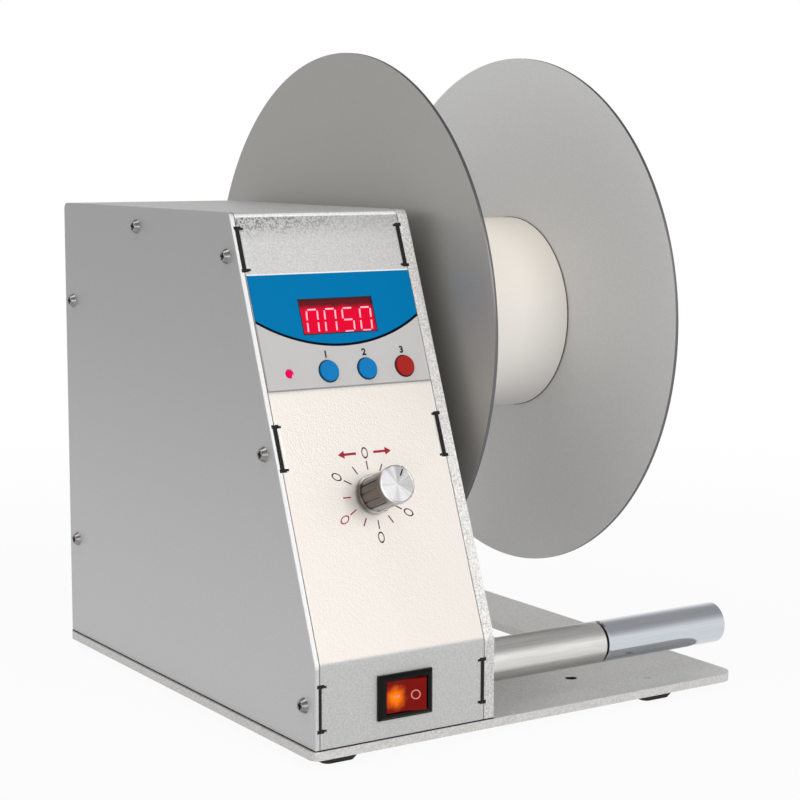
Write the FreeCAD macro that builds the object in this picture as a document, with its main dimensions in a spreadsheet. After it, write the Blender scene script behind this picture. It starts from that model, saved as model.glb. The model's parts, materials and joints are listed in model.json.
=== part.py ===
import FreeCAD, Part
import os
import re
import Sketcher

# Label rewinder, in millimetres, +Z up, front towards -Y.
# The origin is on the table, under the middle of the whole machine's outline.
# A housing of folded sheet stands on the left half of the base plate. Its thick right side
# plate carries the spindle, with two flanges and a core drum, and the swinging guide bar.

SIZES = {
    # Base plate and feet
    "base_length": 181.0,
    "base_thickness": 3.0,
    "base_corner_left": 3.0,
    "base_corner_right": 7.0,
    "base_margin": 1.0,
    "base_front_margin": 0.5,
    "window_gap": 7.0,
    "window_right_rim": 30.0,
    "window_front_rim": 60.0,
    "window_back_rim": 25.0,
    "window_corner": 3.0,
    "bench_hole_dia": 4.5,
    "bench_hole_right": 56.5,
    "bench_hole_front": 26.0,
    "bench_hole_back": 12.0,
    "foot_height": 3.5,
    "foot_width": 16.0,
    "foot_taper": 2.0,
    "foot_corner": 3.0,
    "foot_left": 12.5,
    "foot_right": 33.0,
    "foot_inset": 11.0,
    "foot_recess_dia": 7.0,
    "foot_recess_depth": 2.2,
    # Housing of cover, wrapper and side plate
    "housing_width": 70.0,
    "housing_depth": 190.0,
    "housing_height": 170.0,
    "lip_height": 28.0,
    "top_setback": 55.0,
    "cover_thickness": 1.5,
    "plate_thickness": 4.0,
    "sheet_thickness": 1.2,
    "bend_radius": 2.5,
    "side_gap": 0.3,
    "sole_width": 13.0,
    "sole_screw_left": 20.0,
    "sole_screw_right": 18.0,
    "edge_screw_dia": 2.5,
    "edge_screw_inset": 30.0,
    "edge_screw_bite": 9.0,
    # Tabs bent in from the wrapper's edges, and their screws
    "tab_length": 13.5,
    "tab_depth": 11.0,
    "tab_bend": 2.2,
    "relief_width": 0.9,
    "relief_reach": 0.5,
    "tab_inset": 7.0,
    "tab_on_lip": 13.8,
    "tab_low_on_slope": 80.98,
    "tab_high_on_slope": 12.88,
    "tab_on_top": 70.6,
    "tab_high_on_back": 37.6,
    "tab_low_on_back": 38.3,
    "screw_dia": 3.0,
    "screw_clearance": 0.2,
    "screw_length": 5.0,
    "head_dia": 5.2,
    "head_top_dia": 3.6,
    "head_height": 1.7,
    "flat_head_dia": 5.6,
    "flat_head_height": 1.3,
    "cross_length": 2.6,
    "cross_width": 0.7,
    "cross_depth": 0.8,
    # Operating panel
    "film_thickness": 0.4,
    "film_drop": 21.78,
    "film_height": 40.3,
    "film_gap": 0.2,
    "display_width": 28.8,
    "display_height": 12.2,
    "display_drop": 15.5,
    "display_gap": 0.2,
    "lens_thickness": 1.4,
    "lens_proud": 0.1,
    "module_width": 30.2,
    "module_height": 14.0,
    "module_depth": 7.0,
    "button_up": 5.7,
    "button_right": 13.9,
    "button_dia": 7.0,
    "button_gap": 0.2,
    "button_rise": 0.9,
    "button_travel": 0.6,
    "button_rim": 0.8,
    "button_play": 0.1,
    "button_stem_dia": 3.0,
    "switch_side": 6.0,
    "switch_tall": 3.5,
    "led_side": 10.9,
    "led_dia": 3.0,
    "led_gap": 0.1,
    "led_rise": 1.0,
    "board_side_gap": 3.95,
    "board_height": 46.0,
    "board_thickness": 1.6,
    "board_reach": 7.2,
    "post_dia": 5.0,
    "post_inset": 4.0,
    # Speed control
    "dial_drop": 37.3,
    "knob_dia": 14.0,
    "knob_grip_dia": 13.4,
    "knob_length": 15.4,
    "knob_lift": 0.8,
    "knob_collar": 1.8,
    "knob_edge": 0.5,
    "knob_hollow_dia": 12.4,
    "knob_hollow_depth": 4.6,
    "knob_roof": 2.0,
    "flute_width": 0.5,
    "flute_depth": 0.5,
    "pointer_turn": 32.0,
    "pointer_length": 3.6,
    "pot_shaft_dia": 6.0,
    "pot_bush_dia": 7.0,
    "pot_bush_length": 4.8,
    "pot_body_dia": 16.0,
    "pot_body_depth": 8.0,
    "pot_floor": 1.0,
    "pot_nut_width": 10.0,
    "pot_nut_height": 2.0,
    # Power rocker
    "rocker_up": 14.1,
    "bezel_width": 21.0,
    "bezel_height": 15.0,
    "bezel_rise": 2.0,
    "bezel_edge": 1.0,
    "body_width": 18.8,
    "body_height": 12.9,
    "body_depth": 16.0,
    "rocker_swing_dia": 15.8,
    "rocker_height": 10.6,
    "rocker_gap": 0.3,
    "rocker_sink": 1.0,
    "rocker_crown": 2.4,
    "rocker_tail": 3.5,
    "rocker_tilt": 10.0,
    "rocker_pin_dia": 2.5,
    "rocker_pin_reach": 0.9,
    "rocker_well": 7.5,
    # Spindle and drive
    "running_gap": 0.06,
    "spindle_back": 112.0,
    "spindle_down": 43.5,
    "shaft_dia": 12.0,
    "shaft_stub": 1.4,
    "bearing_dia": 28.0,
    "bearing_width": 8.0,
    "bearing_lip": 2.0,
    "inner_ring_dia": 16.4,
    "ring_gap": 0.3,
    "holder_dia": 36.0,
    "holder_length": 12.0,
    "holder_flange_dia": 50.0,
    "holder_flange": 4.0,
    "holder_mouth_dia": 20.0,
    "holder_screw_circle": 43.0,
    "coupling_dia": 20.0,
    "coupling_gap": 1.0,
    "drive_shaft_dia": 8.0,
    "standoff_length": 24.0,
    "gearbox_thickness": 24.0,
    "gearbox_width": 40.0,
    "gearbox_height": 60.0,
    "gearbox_holes_tall": 50.0,
    "gearbox_holes_wide": 30.0,
    "gearbox_stud": 6.0,
    "standoff_dia": 6.0,
    "motor_dia": 31.0,
    "motor_length": 54.0,
    "motor_neck_dia": 12.0,
    "motor_neck": 2.0,
    # Reel
    "flange_clearance": 26.5,
    "flange_thickness": 1.5,
    "flange_spacing": 80.0,
    "hub_dia": 44.0,
    "hub_gap": 1.0,
    "hub_length": 7.0,
    "set_screw_dia": 4.0,
    "set_screw_length": 6.0,
    "drum_dia": 75.0,
    "drum_wall": 3.0,
    "drum_web": 4.0,
    "reel_play": 0.1,
    "collar_dia": 34.0,
    "collar_length": 14.0,
    "reel_screw_circle": 24.0,
    "reel_screw_bite": 5.0,
    "clamp_dia": 5.0,
    "clamp_neck_dia": 9.0,
    "clamp_neck": 2.0,
    "clamp_head_dia": 12.0,
    "clamp_head": 7.0,
    "seat_gap": 0.3,
    # Guide bar on its swing arm
    "bar_back": 18.0,
    "bar_up": 14.5,
    "bar_core_dia": 10.0,
    "roller_dia": 15.0,
    "roller_clear": 0.08,
    "roller_edge": 0.5,
    "bar_seam_reach": 58.6,
    "washer_dia": 14.0,
    "washer_width": 0.8,
    "washer_play": 0.1,
    "bar_start_gap": 1.0,
    "bar_reach": 114.3,
    "bar_mouth_dia": 13.0,
    "bar_mouth_depth": 4.0,
    "bar_cap_dia": 12.4,
    "bar_cap": 1.6,
    "bar_screw_dia": 4.0,
    "bar_screw_bite": 12.0,
    "arm_pivot_back": 70.0,
    "arm_pivot_up": 24.0,
    "arm_swing": 30.0,
    "arm_offset": 9.0,
    "arm_thickness": 6.0,
    "arm_eye_dia": 18.0,
    "arm_width": 10.0,
    "arm_play": 0.3,
    "pivot_dia": 8.0,
    "pivot_head_dia": 13.0,
    "pivot_head": 3.0,
    "pivot_thread_dia": 5.0,
    "slot_clear": 0.6,
    "flag_reach": 27.0,
    "flag_thickness": 1.2,
    "flag_width": 8.0,
    "sensor_reach": 34.0,
    "sensor_depth": 11.0,
    "sensor_height": 14.0,
    "sensor_slot": 3.6,
    "sensor_wall": 2.2,
    "sensor_back": 4.0,
    # Supply inlet on the back
    "inlet_side": 20.0,
    "inlet_up": 24.0,
    "inlet_dia": 8.0,
    "inlet_bore": 5.6,
    "inlet_bore_depth": 9.5,
    "inlet_pin_dia": 2.0,
    "inlet_rim_dia": 12.0,
    "inlet_rise": 2.0,
    "inlet_depth": 12.0,
}
FLUTES = 18
CLAMP_FLUTES = 20
KEYS = 3

# Screws on a circle about the spindle, and the angle of the first, from the back upwards
ROUND_SCREWS = 3
HOLDER_FIRST = 90
REEL_FIRST = 0

doc = FreeCAD.newDocument("label_rewinder")
dims = doc.addObject("Spreadsheet::Sheet", "Dims")
for row, (alias, value) in enumerate(SIZES.items(), start=1):
    dims.set("A%d" % row, alias)
    dims.set("B%d" % row, str(value))
    dims.setAlias("B%d" % row, alias)
doc.recompute()

# Places that several pieces share, as formulas in the sheet's names. X is measured from the
# housing's left face, depths from its front and heights from the base plate's top.
PLATE_IN = "(housing_width - plate_thickness)"
WRAP_LEFT = "(cover_thickness + side_gap)"
WRAP_RIGHT = "(%s - side_gap)" % PLATE_IN
PANEL_MIDDLE = "((%s + %s) / 2)" % (WRAP_LEFT, WRAP_RIGHT)
BASE_RIGHT = "(base_length - base_margin)"
WINDOW_LEFT = "(housing_width + window_gap)"
WINDOW_RIGHT = "(%s - window_right_rim)" % BASE_RIGHT
WINDOW_BACK = "(housing_depth - window_back_rim)"
BAR_SEAM = "(housing_width + bar_seam_reach)"
BAR_END = "(housing_width + bar_reach)"
SPINDLE_UP = "(housing_height - spindle_down)"
FLANGE_DIA = "(2 * (%s - flange_clearance))" % SPINDLE_UP

# How far the rocker's raised end stands out of the lip, which is the front of the outline
ROCKER_CORNER = "asin(2 * rocker_crown * cos(rocker_tilt * 1 deg) / rocker_swing_dia)"
ROCKER_REACH = ("(rocker_swing_dia / 2 * sin(2 * rocker_tilt * 1 deg + %s) - rocker_sink)"
                % ROCKER_CORNER)
LEFT = "((head_height - %s) / 2)" % BAR_END
FRONT = "((%s - spindle_back - %s / 2) / 2)" % (ROCKER_REACH, FLANGE_DIA)
DECK = "(foot_height + base_thickness)"

SLOPE = "atan2(top_setback; housing_height - lip_height)"
SLOPE_LENGTH = "sqrt(top_setback^2 + (housing_height - lip_height)^2)"
FILM_TOP = "(%s - film_drop)" % SLOPE_LENGTH
FILM_LOW = "(%s - film_height)" % FILM_TOP
DISPLAY_ALONG = "(%s - display_drop)" % FILM_TOP
BUTTONS_ALONG = "(%s + button_up)" % FILM_LOW
DIAL_ALONG = "(%s - dial_drop)" % FILM_LOW
BOARD_LOW = "(%s - board_reach)" % FILM_LOW
BOARD_WIDTH = "(%s - %s - 2 * board_side_gap)" % (WRAP_RIGHT, WRAP_LEFT)
INLET_DOWN = "(housing_height - inlet_up)"
SPINDLE_Y = "(%s + spindle_back)" % FRONT
SPINDLE_Z = "(%s + %s)" % (DECK, SPINDLE_UP)
PIVOT_Y = "(%s + arm_pivot_back)" % FRONT
PIVOT_Z = "(%s + arm_pivot_up)" % DECK
BAR_Y = "(%s + bar_back)" % FRONT
BAR_Z = "(%s + bar_up)" % DECK
ARM_LENGTH = "sqrt((arm_pivot_back - bar_back)^2 + (arm_pivot_up - bar_up)^2)"
ARM_DROP = "atan2(arm_pivot_up - bar_up; arm_pivot_back - bar_back)"
BOARD_FACE = "(lens_thickness - lens_proud + module_depth)"
BEARING_AT = "(housing_width - bearing_lip - bearing_width)"
GEARBOX_FRONT = "(%s - standoff_length)" % PLATE_IN
GEARBOX_BACK = "(%s - gearbox_thickness)" % GEARBOX_FRONT
COUPLING_AT = "(%s + coupling_gap)" % GEARBOX_FRONT
COUPLING_LENGTH = "(%s - coupling_gap - %s)" % (BEARING_AT, COUPLING_AT)
HUB_AT = "(housing_width + hub_gap)"
FLANGE_NEAR = "(%s + hub_length)" % HUB_AT
DRUM_AT = "(%s + flange_thickness)" % FLANGE_NEAR
FLANGE_FAR = "(%s + flange_spacing)" % FLANGE_NEAR
COLLAR_AT = "(%s + flange_thickness + reel_play)" % FLANGE_FAR
SHAFT_END = "(%s + collar_length + shaft_stub)" % COLLAR_AT
ARM_LEFT = "(%s - arm_offset)" % PLATE_IN
FLAG_AT = "(%s + arm_thickness / 2 - flag_thickness / 2)" % ARM_LEFT

X_AXIS = FreeCAD.Vector(1, 0, 0)
Y_BACKWARDS = FreeCAD.Vector(0, -1, 0)
Z_BACKWARDS = FreeCAD.Vector(0, 0, -1)
UPRIGHT = FreeCAD.Rotation()
TO_RIGHT = FreeCAD.Rotation(FreeCAD.Vector(0, 1, 0), 90)
TO_LEFT = FreeCAD.Rotation(FreeCAD.Vector(0, 1, 0), -90)
TO_FRONT = FreeCAD.Rotation(X_AXIS, 90)
BEND_LEFT = FreeCAD.Rotation(FreeCAD.Vector(-1, 0, 0), FreeCAD.Vector(0, 0, 1), FreeCAD.Vector(0, 1, 0))
BEND_RIGHT = FreeCAD.Rotation(FreeCAD.Vector(0, 0, 1), FreeCAD.Vector(1, 0, 0), FreeCAD.Vector(0, 1, 0))
SWING_UP = FreeCAD.Rotation(FreeCAD.Vector(0, -1, 0), FreeCAD.Vector(0, 0, 1), FreeCAD.Vector(-1, 0, 0))
PLACE = {"x": "Placement.Base.x", "y": "Placement.Base.y", "z": "Placement.Base.z",
         "turn": "Placement.Rotation.Angle"}

# Each face of the folded wrapper: its turn about X, where its first edge lies, and the way it
# runs and the way out of it, both as (Y, Z) parts.
FACES = {
    "lip": ("90 deg", FRONT, DECK, ("0", "1"), ("-1", "0")),
    "slope": ("90 deg - %s" % SLOPE, FRONT, "(%s + lip_height)" % DECK,
              ("sin(%s)" % SLOPE, "cos(%s)" % SLOPE), ("-cos(%s)" % SLOPE, "sin(%s)" % SLOPE)),
    "top": ("0 deg", "(%s + top_setback)" % FRONT, "(%s + housing_height)" % DECK,
            ("1", "0"), ("0", "1")),
    "back": ("-90 deg", "(%s + housing_depth)" % FRONT, "(%s + housing_height)" % DECK,
             ("0", "-1"), ("1", "0")),
}
TABS = (("lip", "tab_on_lip"), ("slope", "%s - tab_low_on_slope" % SLOPE_LENGTH),
        ("slope", "%s - tab_high_on_slope" % SLOPE_LENGTH), ("top", "tab_on_top"),
        ("back", "tab_high_on_back"), ("back", "housing_height - tab_low_on_back"))

nodes = []


# Helpers. Where a cutter's size has 1 or 2 added, it reaches 1 past each face that it opens.

def formula(text):
    """Point each name of the sheet in a formula at its cell."""
    return re.sub(r"\b[a-z]+(?:_[a-z]+)+\b", lambda hit: "Dims." + hit.group(0), str(text))


def bind(obj, **formulas):
    for name, text in formulas.items():
        obj.setExpression(PLACE.get(name, name), formula(text))
    return obj


def place(obj, x, y, z, turn=UPRIGHT):
    """Put an object at x from the housing's left face, and at Y and Z of the model."""
    obj.Placement = FreeCAD.Placement(FreeCAD.Vector(), turn)
    return bind(obj, x="%s + %s" % (LEFT, x), y=y, z=z)


def shift(obj, x, y, z, turn=UPRIGHT):
    """Put an object inside a piece that is placed as a whole afterwards."""
    obj.Placement = FreeCAD.Placement(FreeCAD.Vector(), turn)
    return bind(obj, x=x, y=y, z=z)


def any_turn(axis):
    """Some turn about an axis, whose angle a formula then sets."""
    return FreeCAD.Placement(FreeCAD.Vector(), FreeCAD.Rotation(axis, 10))


def face_point(face, along, out):
    """Y and Z of a point on a face of the wrapper."""
    _, y, z, run, normal = FACES[face]
    return ("%s + (%s) * (%s) + (%s) * (%s)" % (y, along, run[0], out, normal[0]),
            "%s + (%s) * (%s) + (%s) * (%s)" % (z, along, run[1], out, normal[1]))


def on_face(obj, face, x, along, out):
    """Stand an object on a face of the wrapper, its own Z pointing out."""
    y, z = face_point(face, along, out)
    obj.Placement = any_turn(X_AXIS)
    return bind(obj, turn=FACES[face][0], x="%s + %s" % (LEFT, x), y=y, z=z)


def box(name, length, width, height):
    return bind(doc.addObject("Part::Box", name), Length=length, Width=width, Height=height)


def middle_box(name, length, width, height, z="0"):
    """A box centred on its own Z axis."""
    piece = box(name, length, width, height)
    return shift(piece, "-(%s) / 2" % length, "-(%s) / 2" % width, z)


def disc(name, dia, height):
    return bind(doc.addObject("Part::Cylinder", name), Radius="(%s) / 2" % dia, Height=height)


def cone(name, dia, end_dia, height):
    return bind(doc.addObject("Part::Cone", name), Radius1="(%s) / 2" % dia,
                Radius2="(%s) / 2" % end_dia, Height=height)


def fuse(name, pieces):
    result = doc.addObject("Part::MultiFuse", name)
    result.Shapes = pieces
    return result


def cut(name, base, tools):
    result = doc.addObject("Part::Cut", name)
    result.Base = base
    result.Tool = tools[0] if len(tools) == 1 else fuse(name + "_tools", tools)
    return result


def group(name, pieces):
    """Separate like solids that share one node."""
    result = doc.addObject("Part::Compound", name)
    result.Links = pieces
    return result


def node(obj, label):
    obj.Label = label
    nodes.append(obj)
    return obj


def runs_along(edge, axis):
    """True for a straight edge along a coordinate axis."""
    if len(edge.Vertexes) != 2 or edge.Length < 1e-6:
        return False
    run = (edge.Vertexes[1].Point - edge.Vertexes[0].Point).normalize()
    return abs(abs(run.dot(axis)) - 1) < 1e-6


def filleted(name, base, alias, test):
    """Round the edges of a finished shape that pass a test."""
    doc.recompute()
    radius = float(dims.get(alias))
    result = doc.addObject("Part::Fillet", name)
    result.Base = base
    result.Edges = [(i, radius, radius) for i, edge in enumerate(base.Shape.Edges, 1) if test(edge)]
    return result


def chamfered(name, base, alias, test):
    doc.recompute()
    size = float(dims.get(alias))
    result = doc.addObject("Part::Chamfer", name)
    result.Base = base
    result.Edges = [(i, size, size) for i, edge in enumerate(base.Shape.Edges, 1) if test(edge)]
    return result


def polygon_sketch(body, name, role, corners):
    """A closed sketch with both coordinates of each corner bound to the sheet."""
    sketch = body.newObject("Sketcher::SketchObject", name)
    plane = next(o for o in body.Origin.OriginFeatures if o.Role == role)
    sketch.AttachmentSupport = [(plane, "")]
    sketch.MapMode = "FlatFace"
    points = [FreeCAD.Vector(SIZES.get(h, 0.0), SIZES.get(v, 0.0), 0) for h, v in corners]
    for i, point in enumerate(points):
        sketch.addGeometry(Part.LineSegment(point, points[(i + 1) % len(points)]))
    for i in range(len(points)):
        sketch.addConstraint(Sketcher.Constraint("Coincident", i, 2, (i + 1) % len(points), 1))
    for i, names in enumerate(corners):
        for kind, line, alias in (("DistanceX", -2, names[0]), ("DistanceY", -1, names[1])):
            if alias == "0":
                sketch.addConstraint(Sketcher.Constraint("PointOnObject", i, 1, line))
            else:
                rule = Sketcher.Constraint(kind, -1, 1, i, 1, SIZES[alias])
                number = sketch.addConstraint(rule)
                sketch.setExpression("Constraints[%d]" % number, formula(alias))
    return sketch


def pad(body, sketch, name, length):
    feature = body.newObject("PartDesign::Pad", name)
    feature.Profile = sketch
    bind(feature, Length=length)
    doc.recompute()
    return feature


# Screws, each modelled with its seat at Z 0 and its shank pointing up

def cross_recess(name, floor):
    bars = [middle_box(name + "_bar", "cross_length", "cross_width", "cross_depth + 1", floor),
            middle_box(name + "_bar_across", "cross_width", "cross_length", "cross_depth + 1", floor)]
    return fuse(name, bars)


def pan_screw(name, dia, length):
    head = shift(cone(name + "_head", "head_top_dia", "head_dia", "head_height"), 0, 0, "-head_height")
    shank = disc(name + "_shank", dia, length)
    recess = cross_recess(name + "_cross", "-head_height - 1")
    return cut(name, fuse(name + "_blank", [head, shank]), [recess])


def flat_screw(name, dia, length):
    head = cone(name + "_head", "flat_head_dia", dia, "flat_head_height")
    shank = disc(name + "_shank", dia, length)
    recess = cross_recess(name + "_cross", "-1")
    return cut(name, fuse(name + "_blank", [head, shank]), [recess])


def flat_screw_hole(name, dia, length):
    """What a countersunk screw takes out of the plate that it holds."""
    return fuse(name, [cone(name + "_sink", "flat_head_dia", dia, "flat_head_height"),
                       disc(name + "_way", dia, length)])


# Base plate, feet and their screws

FEET = [(side, inset) for side in ("foot_left", "%s - foot_right" % BASE_RIGHT)
        for inset in ("foot_inset", "housing_depth - foot_inset")]
SOLE_SCREWS = [(side, inset) for side in ("sole_screw_left", "%s - sole_screw_right" % PLATE_IN)
               for inset in ("sole_width / 2 + sheet_thickness",
                             "housing_depth - sole_width / 2 - sheet_thickness")]
EDGE_SCREWS = [("%s + plate_thickness / 2" % PLATE_IN, inset)
               for inset in ("edge_screw_inset", "housing_depth / 2",
                             "housing_depth - edge_screw_inset")]
BENCH_HOLES = [("%s - bench_hole_right" % BASE_RIGHT, inset)
               for inset in ("bench_hole_front", "housing_depth - bench_hole_back")]


def in_base(obj, spot, z):
    return place(obj, spot[0], "%s + %s" % (FRONT, spot[1]), z)


def make_base_plate():
    slab = box("base_slab", "base_length", "housing_depth + 2 * base_front_margin", "base_thickness")
    place(slab, "-base_margin", "%s - base_front_margin" % FRONT, "foot_height")
    upright = FreeCAD.Vector(0, 0, 1)
    left = filleted("base_left_corners", slab, "base_corner_left",
                    lambda edge: runs_along(edge, upright) and edge.Vertexes[0].X < 0)
    plate = filleted("base_right_corners", left, "base_corner_right",
                     lambda edge: runs_along(edge, upright) and edge.Vertexes[0].X > 0)
    opening = box("base_window_box", "%s - %s" % (WINDOW_RIGHT, WINDOW_LEFT),
                  "%s - window_front_rim" % WINDOW_BACK, "base_thickness + 2")
    in_base(opening, (WINDOW_LEFT, "window_front_rim"), "foot_height - 1")
    tools = [filleted("base_window", opening, "window_corner", lambda edge: runs_along(edge, upright))]
    for i, spot in enumerate(BENCH_HOLES):
        tools.append(in_base(disc("bench_hole_%d" % i, "bench_hole_dia", "base_thickness + 2"),
                             spot, "foot_height - 1"))
    for i, spot in enumerate(FEET):
        tools.append(in_base(disc("foot_hole_%d" % i, "screw_dia", "base_thickness + 2"),
                             spot, "foot_height - 1"))
    for i, spot in enumerate(SOLE_SCREWS):
        tools.append(in_base(flat_screw_hole("sole_hole_%d" % i, "screw_dia", "base_thickness + 2"),
                             spot, "foot_height"))
    for i, spot in enumerate(EDGE_SCREWS):
        tools.append(in_base(flat_screw_hole("edge_hole_%d" % i, "edge_screw_dia", "base_thickness + 2"),
                             spot, "foot_height"))
    node(cut("base_plate_body", plate, tools), "base_plate")


def make_feet():
    feet, screws = [], []
    for i, spot in enumerate(FEET):
        pad_block = doc.addObject("Part::Wedge", "foot_block_%d" % i)
        half = "foot_width / 2"
        bind(pad_block, Xmin="-%s + foot_taper" % half, Xmax="%s - foot_taper" % half,
             Zmin="-%s + foot_taper" % half, Zmax="%s - foot_taper" % half,
             X2min="-" + half, X2max=half, Z2min="-" + half, Z2max=half,
             Ymin="0", Ymax="foot_height")
        pad_block.Placement = FreeCAD.Placement(FreeCAD.Vector(), TO_FRONT)
        block = filleted("foot_rounded_%d" % i, pad_block, "foot_corner",
                         lambda edge: abs(edge.Vertexes[0].Z - edge.Vertexes[1].Z) > 1)
        recess = shift(disc("foot_recess_%d" % i, "foot_recess_dia", "foot_recess_depth + 1"), 0, 0, "-1")
        way = disc("foot_way_%d" % i, "screw_dia", "foot_height + 1")
        feet.append(in_base(cut("foot_%d" % i, block, [recess, way]), spot, "0"))
        screw = pan_screw("foot_screw_%d" % i, "screw_dia",
                          "foot_height + base_thickness - foot_recess_depth")
        screws.append(in_base(screw, spot, "foot_recess_depth"))
    node(group("feet", feet), "rubber_feet")
    node(group("foot_screw_set", screws), "foot_screws")


def make_base_screws():
    sole = [in_base(flat_screw("sole_screw_%d" % i, "screw_dia", "base_thickness + sheet_thickness + 1"),
                    spot, "foot_height") for i, spot in enumerate(SOLE_SCREWS)]
    node(group("sole_screw_set", sole), "wrapper_base_screws")
    edge = [in_base(flat_screw("edge_screw_%d" % i, "edge_screw_dia", "base_thickness + edge_screw_bite"),
                    spot, "foot_height") for i, spot in enumerate(EDGE_SCREWS)]
    node(group("edge_screw_set", edge), "side_plate_base_screws")


# Housing

PROFILE = (("0", "0"), ("0", "lip_height"), ("top_setback", "housing_height"),
           ("housing_depth", "housing_height"), ("housing_depth", "0"))


def housing_slab(name, x, thickness):
    """A slab with the housing's side profile and its bends rounded."""
    body = doc.addObject("PartDesign::Body", name)
    sketch = polygon_sketch(body, name + "_profile", "YZ_Plane", PROFILE)
    slab = pad(body, sketch, name + "_pad", thickness)
    bends = [i for i, edge in enumerate(slab.Shape.Edges, 1)
             if runs_along(edge, X_AXIS) and edge.Vertexes[0].Z > 1]
    rounding = body.newObject("PartDesign::Fillet", name + "_bends")
    rounding.Base = (slab, ["Edge%d" % i for i in bends])
    bind(rounding, Radius="bend_radius")
    doc.recompute()
    place(body, x, FRONT, DECK)
    return body, rounding


def open_faces(shape):
    """The two sides and the underside of the wrapper's slab."""
    box_of = shape.BoundBox
    found = []
    for i, face in enumerate(shape.Faces, 1):
        middle = face.CenterOfMass
        at_side = min(abs(middle.x - box_of.XMin), abs(middle.x - box_of.XMax)) < 1e-6
        if at_side or abs(middle.z - box_of.ZMin) < 1e-6:
            found.append("Face%d" % i)
    return found


def tab_screw_spots():
    return [face_point(face, along, "-tab_inset") for face, along in TABS]


def make_tab(name, face, along):
    """A left and a right tab, bent in from the wrapper's edges."""
    pieces = []
    for side, turn in (("left", BEND_LEFT), ("right", BEND_RIGHT)):
        left = side == "left"
        centre = "cover_thickness + tab_bend" if left else "%s - tab_bend" % PLATE_IN
        leg_at = "cover_thickness" if left else "%s - sheet_thickness" % PLATE_IN
        root_at = centre if left else "%s - relief_reach" % centre
        outer = disc("%s_%s_outer" % (name, side), "2 * tab_bend", "tab_length")
        outer.Angle = 90
        inner = disc("%s_%s_inner" % (name, side), "2 * (tab_bend - sheet_thickness)", "tab_length + 2")
        shift(outer, centre, "-tab_length / 2", "-tab_bend", turn)
        shift(inner, centre, "-tab_length / 2 - 1", "-tab_bend", turn)
        pieces.append(cut("%s_%s_bend" % (name, side), outer, [inner]))
        leg = box("%s_%s_leg" % (name, side), "sheet_thickness", "tab_length", "tab_depth - tab_bend")
        pieces.append(shift(leg, leg_at, "-tab_length / 2", "-tab_depth"))
        # The flat between the relief cuts, where the bend begins
        root = box("%s_%s_root" % (name, side), "relief_reach", "tab_length", "sheet_thickness")
        pieces.append(shift(root, root_at, "-tab_length / 2", "-sheet_thickness"))
    return on_face(fuse(name, pieces), face, "0", along, "0")


def tab_cutters(name, face, along):
    """The notches and relief cuts that a pair of tabs needs in the wrapper's edges."""
    tools = []
    notch_reach = "tab_bend - side_gap"
    reach = "%s + relief_reach" % notch_reach
    for side in ("left", "right"):
        notch_at = "%s - 1" % WRAP_LEFT if side == "left" else "%s - (%s)" % (WRAP_RIGHT, notch_reach)
        notch = box("%s_%s_notch" % (name, side), "1 + " + notch_reach, "tab_length",
                    "sheet_thickness + 2")
        tools.append(shift(notch, notch_at, "-tab_length / 2", "-sheet_thickness - 1"))
        for end, start in (("low", "-tab_length / 2 - relief_width"), ("high", "tab_length / 2")):
            relief = box("%s_%s_%s" % (name, side, end), "1 + " + reach, "relief_width",
                         "sheet_thickness + 2")
            relief_at = "%s - 1" % WRAP_LEFT if side == "left" else "%s - (%s)" % (WRAP_RIGHT, reach)
            tools.append(shift(relief, relief_at, start, "-sheet_thickness - 1"))
    return on_face(fuse(name, tools), face, "0", along, "0")


def panel_hole(name, dia, face, x, along):
    hole = disc(name, dia, "sheet_thickness + 2")
    return on_face(hole, face, x, along, "-sheet_thickness - 1")


def panel_opening(name, width, height, face, x, along):
    """A rectangular opening centred on a spot of a face."""
    opening = box(name, width, height, "sheet_thickness + 2")
    return on_face(opening, face, "%s - (%s) / 2" % (x, width), "%s - (%s) / 2" % (along, height),
                   "-sheet_thickness - 1")


def button_spot(i):
    """The lamp and the keys stand in one row at even steps."""
    return "led_side + %d * (housing_width - button_right - led_side) / %d" % (i + 1, KEYS)


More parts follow.
